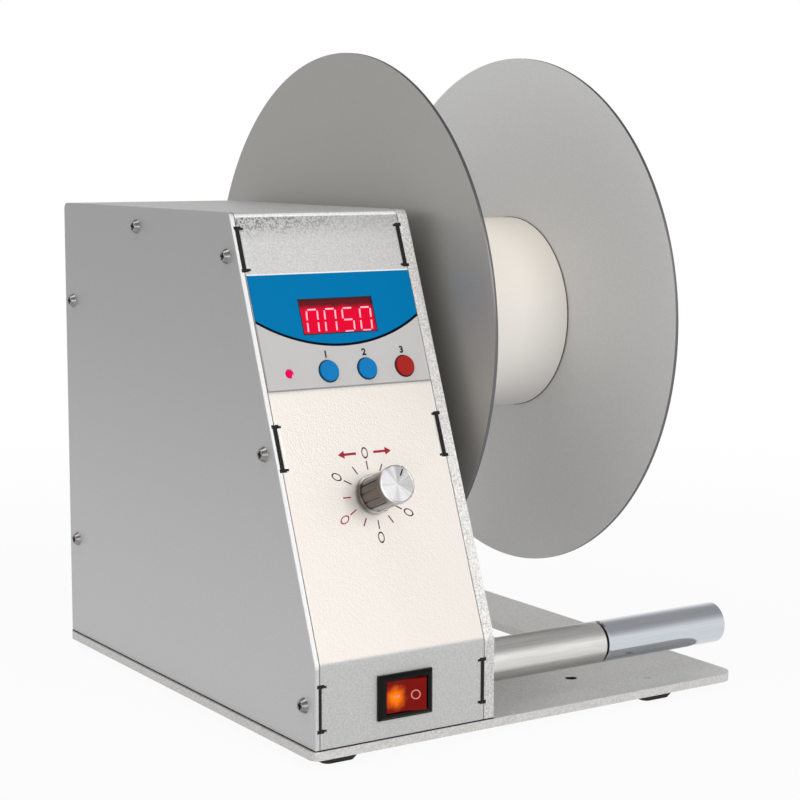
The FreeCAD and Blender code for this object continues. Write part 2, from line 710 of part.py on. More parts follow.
def make_wrapper():
    body, rounding = housing_slab("wrapper_shell", WRAP_LEFT, "%s - %s" % (WRAP_RIGHT, WRAP_LEFT))
    shell = body.newObject("PartDesign::Thickness", "wrapper_thickness")
    shell.Base = (rounding, open_faces(rounding.Shape))
    shell.Reversed = True
    bind(shell, Value="sheet_thickness")
    doc.recompute()
    cutters = [tab_cutters("tab_cut_%d" % i, face, along) for i, (face, along) in enumerate(TABS)]
    cutters += [panel_hole("button_hole_%d" % i, "button_dia + 2 * button_gap", "slope",
                           button_spot(i), BUTTONS_ALONG) for i in range(KEYS)]
    cutters.append(panel_hole("led_hole", "led_dia + 2 * led_gap", "slope", "led_side", BUTTONS_ALONG))
    cutters.append(panel_hole("pot_hole", "pot_bush_dia", "slope", PANEL_MIDDLE, DIAL_ALONG))
    cutters.append(panel_hole("inlet_hole", "inlet_dia", "back", "inlet_side", INLET_DOWN))
    cutters.append(panel_opening("display_hole", "display_width + 2 * display_gap",
                                 "display_height + 2 * display_gap", "slope", PANEL_MIDDLE,
                                 DISPLAY_ALONG))
    cutters.append(panel_opening("rocker_hole", "body_width", "body_height", "lip", PANEL_MIDDLE,
                                 "rocker_up"))
    open_shell = cut("wrapper_open", body, cutters)
    pieces = [open_shell] + [make_tab("tab_%d" % i, face, along) for i, (face, along) in enumerate(TABS)]
    for i, start in enumerate(("0", "housing_depth - sole_width")):
        sole = box("sole_%d" % i, "%s - %s - 4 * side_gap" % (WRAP_RIGHT, WRAP_LEFT), "sole_width",
                   "sheet_thickness")
        pieces.append(place(sole, "%s + 2 * side_gap" % WRAP_LEFT, "%s + %s" % (FRONT, start), DECK))
    whole = fuse("wrapper_whole", pieces)
    drills = []
    for i, (y, z) in enumerate(tab_screw_spots()):
        drill = disc("tab_drill_%d" % i, "screw_dia", "housing_width")
        drills.append(place(drill, "0", y, z, TO_RIGHT))
    for i, spot in enumerate(SOLE_SCREWS):
        drill = disc("sole_drill_%d" % i, "screw_dia", "4 * sheet_thickness")
        drills.append(in_base(drill, spot, "%s - sheet_thickness" % DECK))
    node(cut("wrapper", whole, drills), "housing_wrapper")


def make_side_cover():
    body, _ = housing_slab("cover_slab", "0", "cover_thickness")
    holes = []
    for i, (y, z) in enumerate(tab_screw_spots()):
        hole = disc("cover_hole_%d" % i, "screw_dia", "cover_thickness + 2")
        holes.append(place(hole, "-1", y, z, TO_RIGHT))
    node(cut("cover", body, holes), "side_cover")
    screws = []
    for i, (y, z) in enumerate(tab_screw_spots()):
        screws.append(place(pan_screw("cover_screw_%d" % i, "screw_dia", "screw_length"), "0", y, z,
                            TO_RIGHT))
    node(group("cover_screw_set", screws), "side_cover_screws")


def round_angles(first):
    return [first + 360 // ROUND_SCREWS * i for i in range(ROUND_SCREWS)]


def spindle_spots(circle, first):
    """Y and Z of the screws on a circle about the spindle."""
    return [("%s + %s / 2 * cos(%d deg)" % (SPINDLE_Y, circle, angle),
             "%s + %s / 2 * sin(%d deg)" % (SPINDLE_Z, circle, angle))
            for angle in round_angles(first)]


def round_holes(name, circle, first, length, start):
    """The same screws' holes in a piece that is made along its own Z, from start on."""
    return [shift(disc("%s_%d" % (name, angle), "screw_dia", length),
                  "-%s / 2 * sin(%d deg)" % (circle, angle),
                  "%s / 2 * cos(%d deg)" % (circle, angle), start)
            for angle in round_angles(first)]


def gearbox_spots():
    return [("%s + %s gearbox_holes_wide / 2" % (SPINDLE_Y, a), "%s + %s gearbox_holes_tall / 2" %
             (SPINDLE_Z, b)) for a in ("", "-1 *") for b in ("", "-1 *")]


def slot_tools():
    """The arc that the guide bar's rod runs in."""
    width = "(bar_core_dia + 2 * slot_clear)"
    depth = "plate_thickness + 2"
    outer = disc("slot_outer", "2 * %s + %s" % (ARM_LENGTH, width), depth)
    bind(outer, Angle="arm_swing")
    inner = disc("slot_inner", "2 * %s - %s" % (ARM_LENGTH, width), depth)
    shift(outer, 0, 0, 0, SWING_UP)
    shift(inner, 0, 0, 0, SWING_UP)
    sector = cut("slot_sector", outer, [inner])
    sector.Placement = any_turn(X_AXIS)
    bind(sector, turn=ARM_DROP, x="%s + housing_width + 1" % LEFT, y=PIVOT_Y, z=PIVOT_Z)
    low = place(disc("slot_low_end", width, depth), "%s - 1" % PLATE_IN, BAR_Y, BAR_Z, TO_RIGHT)
    rise = "(arm_swing * 1 deg - %s)" % ARM_DROP
    high = place(disc("slot_high_end", width, depth), "%s - 1" % PLATE_IN,
                 "%s - %s * cos(%s)" % (PIVOT_Y, ARM_LENGTH, rise),
                 "%s + %s * sin(%s)" % (PIVOT_Z, ARM_LENGTH, rise), TO_RIGHT)
    return [sector, low, high]


def make_side_plate():
    body, _ = housing_slab("plate_slab", PLATE_IN, "plate_thickness")
    through = "plate_thickness + 2"
    start = "%s - 1" % PLATE_IN
    tools = slot_tools()
    tools.append(place(disc("plate_bore", "holder_dia", through), start, SPINDLE_Y, SPINDLE_Z, TO_RIGHT))
    tools.append(place(disc("pivot_hole", "pivot_thread_dia", through), start, PIVOT_Y, PIVOT_Z, TO_RIGHT))
    for i, (y, z) in enumerate(tab_screw_spots() + gearbox_spots()):
        tools.append(place(disc("plate_hole_%d" % i, "screw_dia", through), start, y, z, TO_RIGHT))
    for i, (y, z) in enumerate(spindle_spots("holder_screw_circle", HOLDER_FIRST)):
        hole = flat_screw_hole("holder_hole_%d" % i, "screw_dia", through)
        tools.append(place(hole, "housing_width", y, z, TO_LEFT))
    for i, spot in enumerate(EDGE_SCREWS):
        drill = disc("edge_drill_%d" % i, "edge_screw_dia", "edge_screw_bite")
        tools.append(in_base(drill, spot, DECK))
    node(cut("plate", body, tools), "side_plate")
    screws = []
    for i, (y, z) in enumerate(tab_screw_spots()):
        screw = pan_screw("plate_screw_%d" % i, "screw_dia",
                          "screw_length + plate_thickness - cover_thickness")
        screws.append(place(screw, "housing_width", y, z, TO_LEFT))
    node(group("plate_screw_set", screws), "side_plate_screws")


# Operating panel

def make_film():
    width = "(%s - %s - 2 * film_gap)" % (WRAP_RIGHT, WRAP_LEFT)
    sheet = box("film_sheet", width, "film_height", "film_thickness")
    on_face(sheet, "slope", "%s + film_gap" % WRAP_LEFT, FILM_LOW, "0")
    holes = [panel_hole("film_button_%d" % i, "button_dia + 2 * button_gap", "slope", button_spot(i),
                        BUTTONS_ALONG) for i in range(KEYS)]
    holes.append(panel_hole("film_led", "led_dia + 2 * led_gap", "slope", "led_side", BUTTONS_ALONG))
    holes.append(panel_opening("film_window", "display_width + 2 * display_gap",
                               "display_height + 2 * display_gap", "slope", PANEL_MIDDLE,
                               DISPLAY_ALONG))
    node(cut("film", sheet, holes), "panel_film")


def make_display():
    lens = box("lens", "display_width", "display_height", "lens_thickness")
    on_face(lens, "slope", "%s - display_width / 2" % PANEL_MIDDLE,
            "%s - display_height / 2" % DISPLAY_ALONG, "lens_proud - lens_thickness")
    node(lens, "display_lens")
    module = box("module", "module_width", "module_height", "module_depth")
    on_face(module, "slope", "%s - module_width / 2" % PANEL_MIDDLE,
            "%s - module_height / 2" % DISPLAY_ALONG, "-" + BOARD_FACE)
    node(module, "digit_module")


def make_board():
    board = box("board", BOARD_WIDTH, "board_height", "board_thickness")
    on_face(board, "slope", "%s - %s / 2" % (PANEL_MIDDLE, BOARD_WIDTH), BOARD_LOW,
            "-%s - board_thickness" % BOARD_FACE)
    node(board, "controller_board")
    posts = []
    for side in ("-1", "1"):
        for along in ("post_inset", "board_height - post_inset"):
            post = disc("post_%d" % len(posts), "post_dia", "%s - sheet_thickness" % BOARD_FACE)
            x = "%s + %s * (%s / 2 - post_inset)" % (PANEL_MIDDLE, side, BOARD_WIDTH)
            posts.append(on_face(post, "slope", x, "%s + %s" % (BOARD_LOW, along), "-" + BOARD_FACE))
    node(group("post_set", posts), "board_posts")
    switches = []
    for i in range(KEYS):
        switch = box("switch_%d" % i, "switch_side", "switch_side", "switch_tall")
        switches.append(on_face(switch, "slope", "%s - switch_side / 2" % button_spot(i),
                                "%s - switch_side / 2" % BUTTONS_ALONG, "-" + BOARD_FACE))
    node(group("switch_set", switches), "key_switches")
    stem = disc("led_stem", "led_dia", "%s + film_thickness + led_rise - led_dia / 2" % BOARD_FACE)
    dome = bind(doc.addObject("Part::Sphere", "led_dome"), Radius="led_dia / 2")
    shift(dome, 0, 0, "%s + film_thickness + led_rise - led_dia / 2" % BOARD_FACE)
    node(on_face(fuse("led", [stem, dome]), "slope", "led_side", BUTTONS_ALONG, "-" + BOARD_FACE),
         "status_lamp")


def make_buttons():
    rim_top = "-sheet_thickness - button_play"
    stem_foot = "-%s + switch_tall + button_travel + button_play" % BOARD_FACE
    for i in range(KEYS):
        name = "button_%d" % (i + 1)
        cap = disc(name + "_cap", "button_dia",
                   "film_thickness + button_rise + sheet_thickness + button_play")
        shift(cap, 0, 0, rim_top)
        cap = chamfered(name + "_cap_edge", cap, "button_play",
                        lambda edge: edge.Closed and edge.BoundBox.ZMax > 0)
        rim = disc(name + "_rim", "button_dia + 2 * button_rim", "button_rim")
        shift(rim, 0, 0, "%s - button_rim" % rim_top)
        stem = disc(name + "_stem", "button_stem_dia", "%s - (%s)" % (rim_top, stem_foot))
        shift(stem, 0, 0, stem_foot)
        node(on_face(fuse(name + "_body", [cap, rim, stem]), "slope", button_spot(i), BUTTONS_ALONG, "0"),
             name)


def make_speed_control():
    body = shift(disc("pot_can", "pot_body_dia", "pot_body_depth"), 0, 0,
                 "-sheet_thickness - pot_body_depth")
    bush = shift(disc("pot_bush", "pot_bush_dia", "pot_bush_length + sheet_thickness"), 0, 0,
                 "-sheet_thickness")
    bore = disc("pot_bore", "pot_shaft_dia + 2 * running_gap", "pot_body_depth + pot_bush_length + 2")
    shift(bore, 0, 0, "-sheet_thickness - pot_body_depth + pot_floor")
    pot = cut("pot", fuse("pot_solid", [body, bush]), [bore])
    node(on_face(pot, "slope", PANEL_MIDDLE, DIAL_ALONG, "0"), "speed_potentiometer")

    nut = doc.addObject("Part::Prism", "pot_nut_blank")
    nut.Polygon = 6
    bind(nut, Circumradius="pot_nut_width / sqrt(3)", Height="pot_nut_height")
    ring = cut("pot_nut", nut, [disc("pot_nut_bore", "pot_bush_dia", "pot_nut_height")])
    node(on_face(ring, "slope", PANEL_MIDDLE, DIAL_ALONG, "0"), "potentiometer_nut")

    foot = "-sheet_thickness - pot_body_depth + pot_floor + button_play"
    shaft_top = "knob_lift + knob_length - knob_roof"
    shaft = disc("pot_shaft_blank", "pot_shaft_dia", "%s - (%s)" % (shaft_top, foot))
    node(on_face(shaft, "slope", PANEL_MIDDLE, DIAL_ALONG, foot), "potentiometer_shaft")
    make_knob()


def make_knob():
    grip = disc("knob_grip", "knob_grip_dia", "knob_length")
    collar = disc("knob_skirt", "knob_dia", "knob_collar")
    crown = shift(disc("knob_crown", "knob_dia", "knob_collar"), 0, 0, "knob_length - knob_collar")
    blank = fuse("knob_blank", [grip, collar, crown])
    edged = chamfered("knob_edged", blank, "knob_edge",
                      lambda edge: edge.Closed and edge.BoundBox.ZMin > SIZES["knob_length"] - 0.01)
    tools = [shift(disc("knob_hollow", "knob_hollow_dia", "knob_hollow_depth + 1"), 0, 0, "-1"),
             disc("knob_bore", "pot_shaft_dia", "knob_length - knob_roof")]
    for i in range(FLUTES):
        angle = 360.0 * i / FLUTES
        flute = box("flute_%d" % i, "2 * flute_depth", "flute_width", "knob_length - 2 * knob_collar")
        radius = "(knob_grip_dia / 2 - flute_depth)"
        turn = FreeCAD.Rotation(FreeCAD.Vector(0, 0, 1), angle)
        shift(flute, "%s * cos(%s deg) + flute_width / 2 * sin(%s deg)" % (radius, angle, angle),
              "%s * sin(%s deg) - flute_width / 2 * cos(%s deg)" % (radius, angle, angle),
              "knob_collar", turn)
        tools.append(flute)
    pointer = box("knob_pointer", "flute_width", "pointer_length", "knob_edge + 1")
    pointer.Placement = any_turn(Z_BACKWARDS)
    start = "(knob_dia / 2 - pointer_length)"
    bind(pointer, turn="pointer_turn * 1 deg", z="knob_length - knob_edge",
         x="%s * sin(pointer_turn * 1 deg) - flute_width / 2 * cos(pointer_turn * 1 deg)" % start,
         y="%s * cos(pointer_turn * 1 deg) + flute_width / 2 * sin(pointer_turn * 1 deg)" % start)
    tools.append(pointer)
    knob = cut("knob", edged, tools)
    node(on_face(knob, "slope", PANEL_MIDDLE, DIAL_ALONG, "knob_lift"), "speed_knob")


def make_power_switch():
    rim = chamfered("bezel_edged", middle_box("bezel", "bezel_width", "bezel_height", "bezel_rise"),
                    "bezel_edge", lambda edge: edge.BoundBox.ZMin > SIZES["bezel_rise"] - 0.01)
    case = middle_box("switch_case", "body_width", "body_height", "body_depth", "-body_depth")
    gap = "2 * rocker_gap"
    well = middle_box("rocker_well_box", "rocker_swing_dia + " + gap, "rocker_height + " + gap,
                      "rocker_well + bezel_rise + 1", "-rocker_well")
    pins = disc("rocker_pin_hole", "rocker_pin_dia + 2 * running_gap",
                "rocker_height + 2 * rocker_pin_reach + " + gap)
    shift(pins, 0, "-rocker_height / 2 - rocker_pin_reach - rocker_gap", "-rocker_sink",
          FreeCAD.Rotation(X_AXIS, -90))
    frame = cut("switch_frame", fuse("switch_blank", [rim, case]), [well, pins])
    node(on_face(frame, "lip", PANEL_MIDDLE, "rocker_up", "0"), "rocker_frame")

    # The rocker is built level about its pin, its top a shallow V, and then tipped to ON.
    swing = disc("rocker_swing", "rocker_swing_dia", "rocker_height")
    shift(swing, 0, "-rocker_height / 2", 0, FreeCAD.Rotation(X_AXIS, -90))
    block = middle_box("rocker_block", "rocker_swing_dia", "rocker_height",
                       "rocker_tail + rocker_swing_dia / 2", "-rocker_tail")
    solid = doc.addObject("Part::Common", "rocker_solid")
    solid.Base = swing
    solid.Tool = block
    wings = []
    for side, sign in (("left", -1), ("right", 1)):
        wing = box("rocker_cut_" + side, "rocker_swing_dia", "rocker_height + 2", "rocker_swing_dia")
        wing.Placement = any_turn(Y_BACKWARDS)
        if sign > 0:
            bind(wing, turn="rocker_tilt * 1 deg", x="0", y="-rocker_height / 2 - 1", z="rocker_crown")
        else:
            bind(wing, turn="-rocker_tilt * 1 deg", y="-rocker_height / 2 - 1",
                 x="-rocker_swing_dia * cos(rocker_tilt * 1 deg)",
                 z="rocker_crown + rocker_swing_dia * sin(rocker_tilt * 1 deg)")
        wings.append(wing)
    level = cut("rocker_level", solid, wings)
    pin = disc("rocker_pin", "rocker_pin_dia", "rocker_height + 2 * rocker_pin_reach")
    shift(pin, 0, "-rocker_height / 2 - rocker_pin_reach", 0, FreeCAD.Rotation(X_AXIS, -90))
    rocker = fuse("rocker_whole", [level, pin])
    tipped = group("rocker_tipped", [rocker])
    tipped.Placement = any_turn(Y_BACKWARDS)
    bind(tipped, turn="rocker_tilt * 1 deg")
    node(on_face(group("rocker", [tipped]), "lip", PANEL_MIDDLE, "rocker_up", "-rocker_sink"),
         "power_rocker")


def make_inlet():
    rim = disc("inlet_rim", "inlet_rim_dia", "inlet_rise")
    barrel = shift(disc("inlet_barrel", "inlet_dia", "inlet_depth"), 0, 0, "-inlet_depth")
    bore = shift(disc("inlet_bore_tool", "inlet_bore", "inlet_bore_depth + 1"), 0, 0,
                 "inlet_rise - inlet_bore_depth")
    pin = shift(disc("inlet_pin", "inlet_pin_dia", "inlet_bore_depth - inlet_rise / 2"), 0, 0,
                "inlet_rise - inlet_bore_depth")
    socket = fuse("inlet", [cut("inlet_shell", fuse("inlet_blank", [rim, barrel]), [bore]), pin])
    node(on_face(socket, "back", "inlet_side", INLET_DOWN, "0"), "supply_inlet")


# Spindle, drive and reel

def on_spindle(obj, x, turn=TO_RIGHT):
    return place(obj, x, SPINDLE_Y, SPINDLE_Z, turn)


def ring(name, dia, bore, length):
    return cut(name, disc(name + "_disc", dia, length),
               [shift(disc(name + "_bore", bore, "%s + 2" % length), 0, 0, "-1")])


def make_bearing():
    flange_at = "holder_length - plate_thickness - holder_flange"
    boss = disc("holder_boss", "holder_dia", "holder_length")
    flange = shift(disc("holder_disc", "holder_flange_dia", "holder_flange"), 0, 0, flange_at)
    seat = shift(disc("holder_seat", "bearing_dia", "holder_length - bearing_lip + 1"), 0, 0, "-1")
    mouth = disc("holder_mouth", "holder_mouth_dia", "holder_length + 1")
    holes = round_holes("holder_tap", "holder_screw_circle", HOLDER_FIRST, "holder_length", "0")
    holder = cut("holder", fuse("holder_blank", [boss, flange]), [seat, mouth] + holes)
    node(on_spindle(holder, "housing_width - holder_length"), "bearing_holder")
    screws = []
    for i, (y, z) in enumerate(spindle_spots("holder_screw_circle", HOLDER_FIRST)):
        screw = flat_screw("holder_screw_%d" % i, "screw_dia", "plate_thickness + holder_flange")
        screws.append(place(screw, "housing_width", y, z, TO_LEFT))
    node(group("holder_screw_set", screws), "bearing_holder_screws")
    outer = ring("outer_race", "bearing_dia", "inner_ring_dia + 2 * ring_gap", "bearing_width")
    node(on_spindle(outer, BEARING_AT), "bearing_outer_race")
    inner = ring("inner_race", "inner_ring_dia", "shaft_dia", "bearing_width")
    node(on_spindle(inner, BEARING_AT), "bearing_inner_race")


def make_drive():
    case = box("gearbox_case", "gearbox_thickness", "gearbox_width", "gearbox_height")
    place(case, GEARBOX_BACK, "%s - gearbox_width / 2" % SPINDLE_Y,
          "%s - gearbox_height / 2" % SPINDLE_Z)
    neck = disc("motor_neck_disc", "motor_neck_dia", "motor_neck")
    neck_x = "%s + gearbox_thickness / 2" % GEARBOX_BACK
    place(neck, neck_x, SPINDLE_Y, "%s - gearbox_height / 2 - motor_neck" % SPINDLE_Z)
    bore = disc("gearbox_bore", "drive_shaft_dia + 2 * running_gap", "gearbox_thickness / 2 + 1")
    on_spindle(bore, neck_x)
    studs = [place(disc("stud_hole_%d" % i, "screw_dia", "gearbox_stud + 1"),
                   "%s - gearbox_stud" % GEARBOX_FRONT, y, z, TO_RIGHT)
             for i, (y, z) in enumerate(gearbox_spots())]
    node(cut("gearbox", fuse("gearbox_blank", [case, neck]), [bore] + studs), "gearbox_housing")
    can = disc("motor_can", "motor_dia", "motor_length")
    can = chamfered("motor_can_edged", can, "knob_edge", lambda edge: edge.Closed)
    place(can, neck_x, SPINDLE_Y, "%s - gearbox_height / 2 - motor_neck - motor_length" % SPINDLE_Z)
    node(can, "drive_motor")
    standoffs, screws = [], []
    for i, (y, z) in enumerate(gearbox_spots()):
        stud = shift(disc("standoff_stud_%d" % i, "screw_dia", "gearbox_stud"), 0, 0, "-gearbox_stud")
        post = fuse("standoff_blank_%d" % i,
                    [disc("standoff_post_%d" % i, "standoff_dia", "standoff_length"), stud])
        tap = shift(disc("standoff_tap_%d" % i, "screw_dia", "screw_length + 1"), 0, 0,
                    "standoff_length - screw_length")
        standoffs.append(place(cut("standoff_%d" % i, post, [tap]), GEARBOX_FRONT, y, z, TO_RIGHT))
        screw = pan_screw("gearbox_screw_%d" % i, "screw_dia", "plate_thickness + screw_length")
        screws.append(place(screw, "housing_width", y, z, TO_LEFT))
    node(group("standoff_set", standoffs), "gearbox_standoffs")
    node(group("gearbox_screw_set", screws), "gearbox_screws")


def make_spindle():
    joint_at = "(%s + %s / 2)" % (COUPLING_AT, COUPLING_LENGTH)
    drive_at = "(%s + gearbox_thickness / 2 + running_gap)" % GEARBOX_BACK
    drive = disc("drive_shaft_rod", "drive_shaft_dia", "%s - running_gap - %s" % (joint_at, drive_at))
    node(on_spindle(drive, drive_at), "gearbox_shaft")
    coupling = cut("coupling", disc("coupling_blank", "coupling_dia", COUPLING_LENGTH),
                   [disc("coupling_small", "drive_shaft_dia", COUPLING_LENGTH),
                    shift(disc("coupling_large", "shaft_dia", COUPLING_LENGTH), 0, 0,
                          "%s / 2" % COUPLING_LENGTH)])
    node(on_spindle(coupling, COUPLING_AT), "shaft_coupling")
    shaft = disc("shaft_rod", "shaft_dia", "%s - %s" % (SHAFT_END, joint_at))
    shaft = chamfered("shaft_edged", shaft, "knob_edge",
                      lambda edge: edge.Closed and edge.BoundBox.ZMin > 1)
    node(on_spindle(shaft, joint_at), "spindle_shaft")


def reel_holes(name, length):
    return round_holes(name, "reel_screw_circle", REEL_FIRST, length, "-1")


def make_reel():
    side_hole = shift(disc("hub_side_hole", "set_screw_dia", "hub_dia"), 0, 0, "hub_length / 2",
                      TO_FRONT)
    hub = cut("hub_drilled", ring("hub", "hub_dia", "shaft_dia", "hub_length"),
              [side_hole] + reel_holes("hub_tap", "hub_length + 2"))
    node(on_spindle(hub, HUB_AT), "inner_flange_hub")
    grub = disc("hub_grub", "set_screw_dia", "set_screw_length")
    place(grub, "%s + hub_length / 2" % HUB_AT, "%s - shaft_dia / 2" % SPINDLE_Y, SPINDLE_Z, TO_FRONT)
    node(grub, "hub_set_screw")

    near = ring("near_disc", FLANGE_DIA, "shaft_dia", "flange_thickness")
    near = cut("near_flange", near, reel_holes("near_hole", "flange_thickness + 2"))
    node(on_spindle(near, FLANGE_NEAR), "inner_flange")

    length = "(flange_spacing - flange_thickness)"
    inside = shift(disc("drum_inside", "drum_dia - 2 * drum_wall", length), 0, 0, "drum_web")
    drum = cut("drum", ring("drum_tube", "drum_dia", "shaft_dia", length),
               [inside] + reel_holes("drum_hole", "drum_web + 2"))
    node(on_spindle(drum, DRUM_AT), "core_drum")
    cap = ring("drum_cap", "drum_dia - 2 * drum_wall", "shaft_dia", "drum_web")
    node(on_spindle(cap, "%s - drum_web" % FLANGE_FAR), "drum_end_cap")
    screws = []
    for i, (y, z) in enumerate(spindle_spots("reel_screw_circle", REEL_FIRST)):
        screw = pan_screw("reel_screw_%d" % i, "screw_dia", "drum_web + flange_thickness + reel_screw_bite")
        screws.append(place(screw, "%s + drum_web" % DRUM_AT, y, z, TO_LEFT))
    node(group("reel_screw_set", screws), "drum_screws")


def make_outer_flange():
    bore = "shaft_dia + 2 * running_gap"
    far = ring("far_disc", FLANGE_DIA, bore, "flange_thickness")
    sinks = []
    for angle in round_angles(REEL_FIRST):
        sink = flat_screw_hole("far_sink_%d" % angle, "screw_dia", "flange_thickness + 1")
        sinks.append(shift(sink, "-reel_screw_circle / 2 * sin(%d deg)" % angle,
                           "reel_screw_circle / 2 * cos(%d deg)" % angle, 0))
    node(on_spindle(cut("far_flange", far, sinks), "%s + reel_play" % FLANGE_FAR), "outer_flange")
    collar = ring("collar", "collar_dia", bore, "collar_length")
    clamp_hole = shift(disc("clamp_hole", "clamp_dia + 2 * running_gap", "collar_dia"), 0, 0,
                       "collar_length / 2", TO_LEFT)
    taps = reel_holes("collar_tap", "reel_screw_bite + 1")
    node(on_spindle(cut("collar_drilled", collar, [clamp_hole] + taps), COLLAR_AT), "outer_flange_hub")
    screws = []
    for i, (y, z) in enumerate(spindle_spots("reel_screw_circle", REEL_FIRST)):
        screw = flat_screw("far_screw_%d" % i, "screw_dia", "flange_thickness + reel_screw_bite")
        screws.append(place(screw, "%s + reel_play" % FLANGE_FAR, y, z, TO_RIGHT))
    node(group("far_screw_set", screws), "outer_flange_screws")
    make_clamp_screw()


def make_clamp_screw():
    seat = "(collar_dia / 2 + seat_gap)"
    start = "(shaft_dia / 2 + seat_gap)"
    shank = shift(disc("clamp_shank", "clamp_dia", "%s - %s" % (seat, start)), 0, 0, start)
    neck = shift(disc("clamp_neck_disc", "clamp_neck_dia", "clamp_neck"), 0, 0, seat)
    head = disc("clamp_head_disc", "clamp_head_dia", "clamp_head")
    shift(head, 0, 0, "%s + clamp_neck" % seat)
    flutes = []
    for i in range(CLAMP_FLUTES):
        angle = 360.0 * i / CLAMP_FLUTES
        flute = disc("clamp_flute_%d" % i, "2 * flute_width", "clamp_head + 2")
        flutes.append(shift(flute, "clamp_head_dia / 2 * cos(%s deg)" % angle,
                            "clamp_head_dia / 2 * sin(%s deg)" % angle,
                            "%s + clamp_neck - 1" % seat))
    grip = cut("clamp_grip", head, flutes)
    screw = fuse("clamp", [shank, neck, grip])
    node(place(screw, "%s + collar_length / 2" % COLLAR_AT, SPINDLE_Y, SPINDLE_Z), "clamp_screw")


# Guide bar on its swing arm

def on_bar(obj, x, turn=TO_RIGHT):
    return place(obj, x, BAR_Y, BAR_Z, turn)


def make_guide_bar():
    near_start = "(housing_width + bar_start_gap + washer_width + washer_play)"
    near_end = "(%s - washer_width / 2 - washer_play)" % BAR_SEAM
    far_start = "(%s + washer_width / 2 + washer_play)" % BAR_SEAM
    bore = "bar_core_dia + 2 * roller_clear"
    shoulder = "(%s - bar_mouth_depth)" % BAR_END
    rod_length = "%s + washer_play - %s" % (shoulder, ARM_LEFT)
    rod = disc("rod", "bar_core_dia", rod_length)
    tap = shift(disc("rod_tap", "bar_screw_dia", "bar_screw_bite + 1"), 0, 0,
                "%s - bar_screw_bite" % rod_length)
    node(on_bar(cut("rod_tapped", rod, [tap]), ARM_LEFT), "guide_rod")

    sleeves = (("near_roller", near_start, near_end), ("far_roller", far_start, BAR_END))
    for label, start, end in sleeves:
        blank = disc(label + "_blank", "roller_dia", "%s - %s" % (end, start))
        edged = chamfered(label + "_edged", blank, "roller_edge", lambda edge: edge.Closed)
        tools = [shift(disc(label + "_bore", bore, "%s - %s + 2" % (end, start)), 0, 0, "-1")]
        if label == "far_roller":
            tools.append(shift(disc("bar_mouth", "bar_mouth_dia", "bar_mouth_depth + 1"), 0, 0,
                               "%s - %s" % (shoulder, start)))
        node(on_bar(cut(label + "_body", edged, tools), start), label)
    washers = [on_bar(ring("washer_near", "washer_dia", "bar_core_dia", "washer_width"),
                      "housing_width + bar_start_gap"),
               on_bar(ring("washer_seam", "washer_dia", "bar_core_dia", "washer_width"),
                      "%s - washer_width / 2" % BAR_SEAM)]
    node(group("washers", washers), "roller_washers")
    head = disc("bar_cap_disc", "bar_cap_dia", "bar_cap")
    stem = shift(disc("bar_cap_stem", "bar_screw_dia", "bar_screw_bite"), 0, 0, "-bar_screw_bite")
    recess = cross_recess("bar_cap_cross", "bar_cap - cross_depth")
    cap = cut("bar_cap_screw", fuse("bar_cap_blank", [head, stem]), [recess])
    node(on_bar(cap, "%s + washer_play" % shoulder), "bar_end_screw")


def make_arm():
    eye = on_bar(disc("arm_eye", "arm_eye_dia", "arm_thickness"), ARM_LEFT)
    hub = place(disc("arm_hub", "arm_eye_dia", "arm_thickness"), ARM_LEFT, PIVOT_Y, PIVOT_Z, TO_RIGHT)
    link = box("arm_link", "arm_thickness", ARM_LENGTH, "arm_width")
    link.Placement = any_turn(X_AXIS)
    bind(link, turn=ARM_DROP, x="%s + %s" % (LEFT, ARM_LEFT),
         y="%s + arm_width / 2 * sin(%s)" % (BAR_Y, ARM_DROP),
         z="%s - arm_width / 2 * cos(%s)" % (BAR_Z, ARM_DROP))
    flag = box("arm_flag", "flag_thickness", "flag_reach", "flag_width")
    flag.Placement = any_turn(X_AXIS)
    bind(flag, turn=ARM_DROP, x="%s + %s" % (LEFT, FLAG_AT),
         y="%s + flag_width / 2 * sin(%s)" % (PIVOT_Y, ARM_DROP),
         z="%s - flag_width / 2 * cos(%s)" % (PIVOT_Z, ARM_DROP))
    holes = [on_bar(disc("arm_eye_bore", "bar_core_dia", "arm_thickness + 2"), ARM_LEFT + " - 1"),
             place(disc("arm_hub_bore", "pivot_dia + 2 * running_gap", "arm_thickness + 2"),
                   ARM_LEFT + " - 1", PIVOT_Y, PIVOT_Z, TO_RIGHT)]
    node(cut("arm", fuse("arm_blank", [eye, hub, link, flag]), holes), "swing_arm")

    head = disc("pivot_head_disc", "pivot_head_dia", "pivot_head")
    shoulder = shift(disc("pivot_shoulder", "pivot_dia", "arm_offset + arm_play"), 0, 0, "pivot_head")
    spacer_length = "(arm_offset - arm_thickness - arm_play)"
    spacer = shift(disc("pivot_spacer", "pivot_head_dia", spacer_length), 0, 0,
                   "pivot_head + 2 * arm_play + arm_thickness")
    thread = shift(disc("pivot_thread", "pivot_thread_dia", "plate_thickness"), 0, 0,
                   "pivot_head + arm_play + arm_offset")
    pin = fuse("pivot", [head, shoulder, spacer, thread])
    node(place(pin, "%s - arm_play - pivot_head" % ARM_LEFT, PIVOT_Y, PIVOT_Z, TO_RIGHT),
         "arm_pivot_pin")


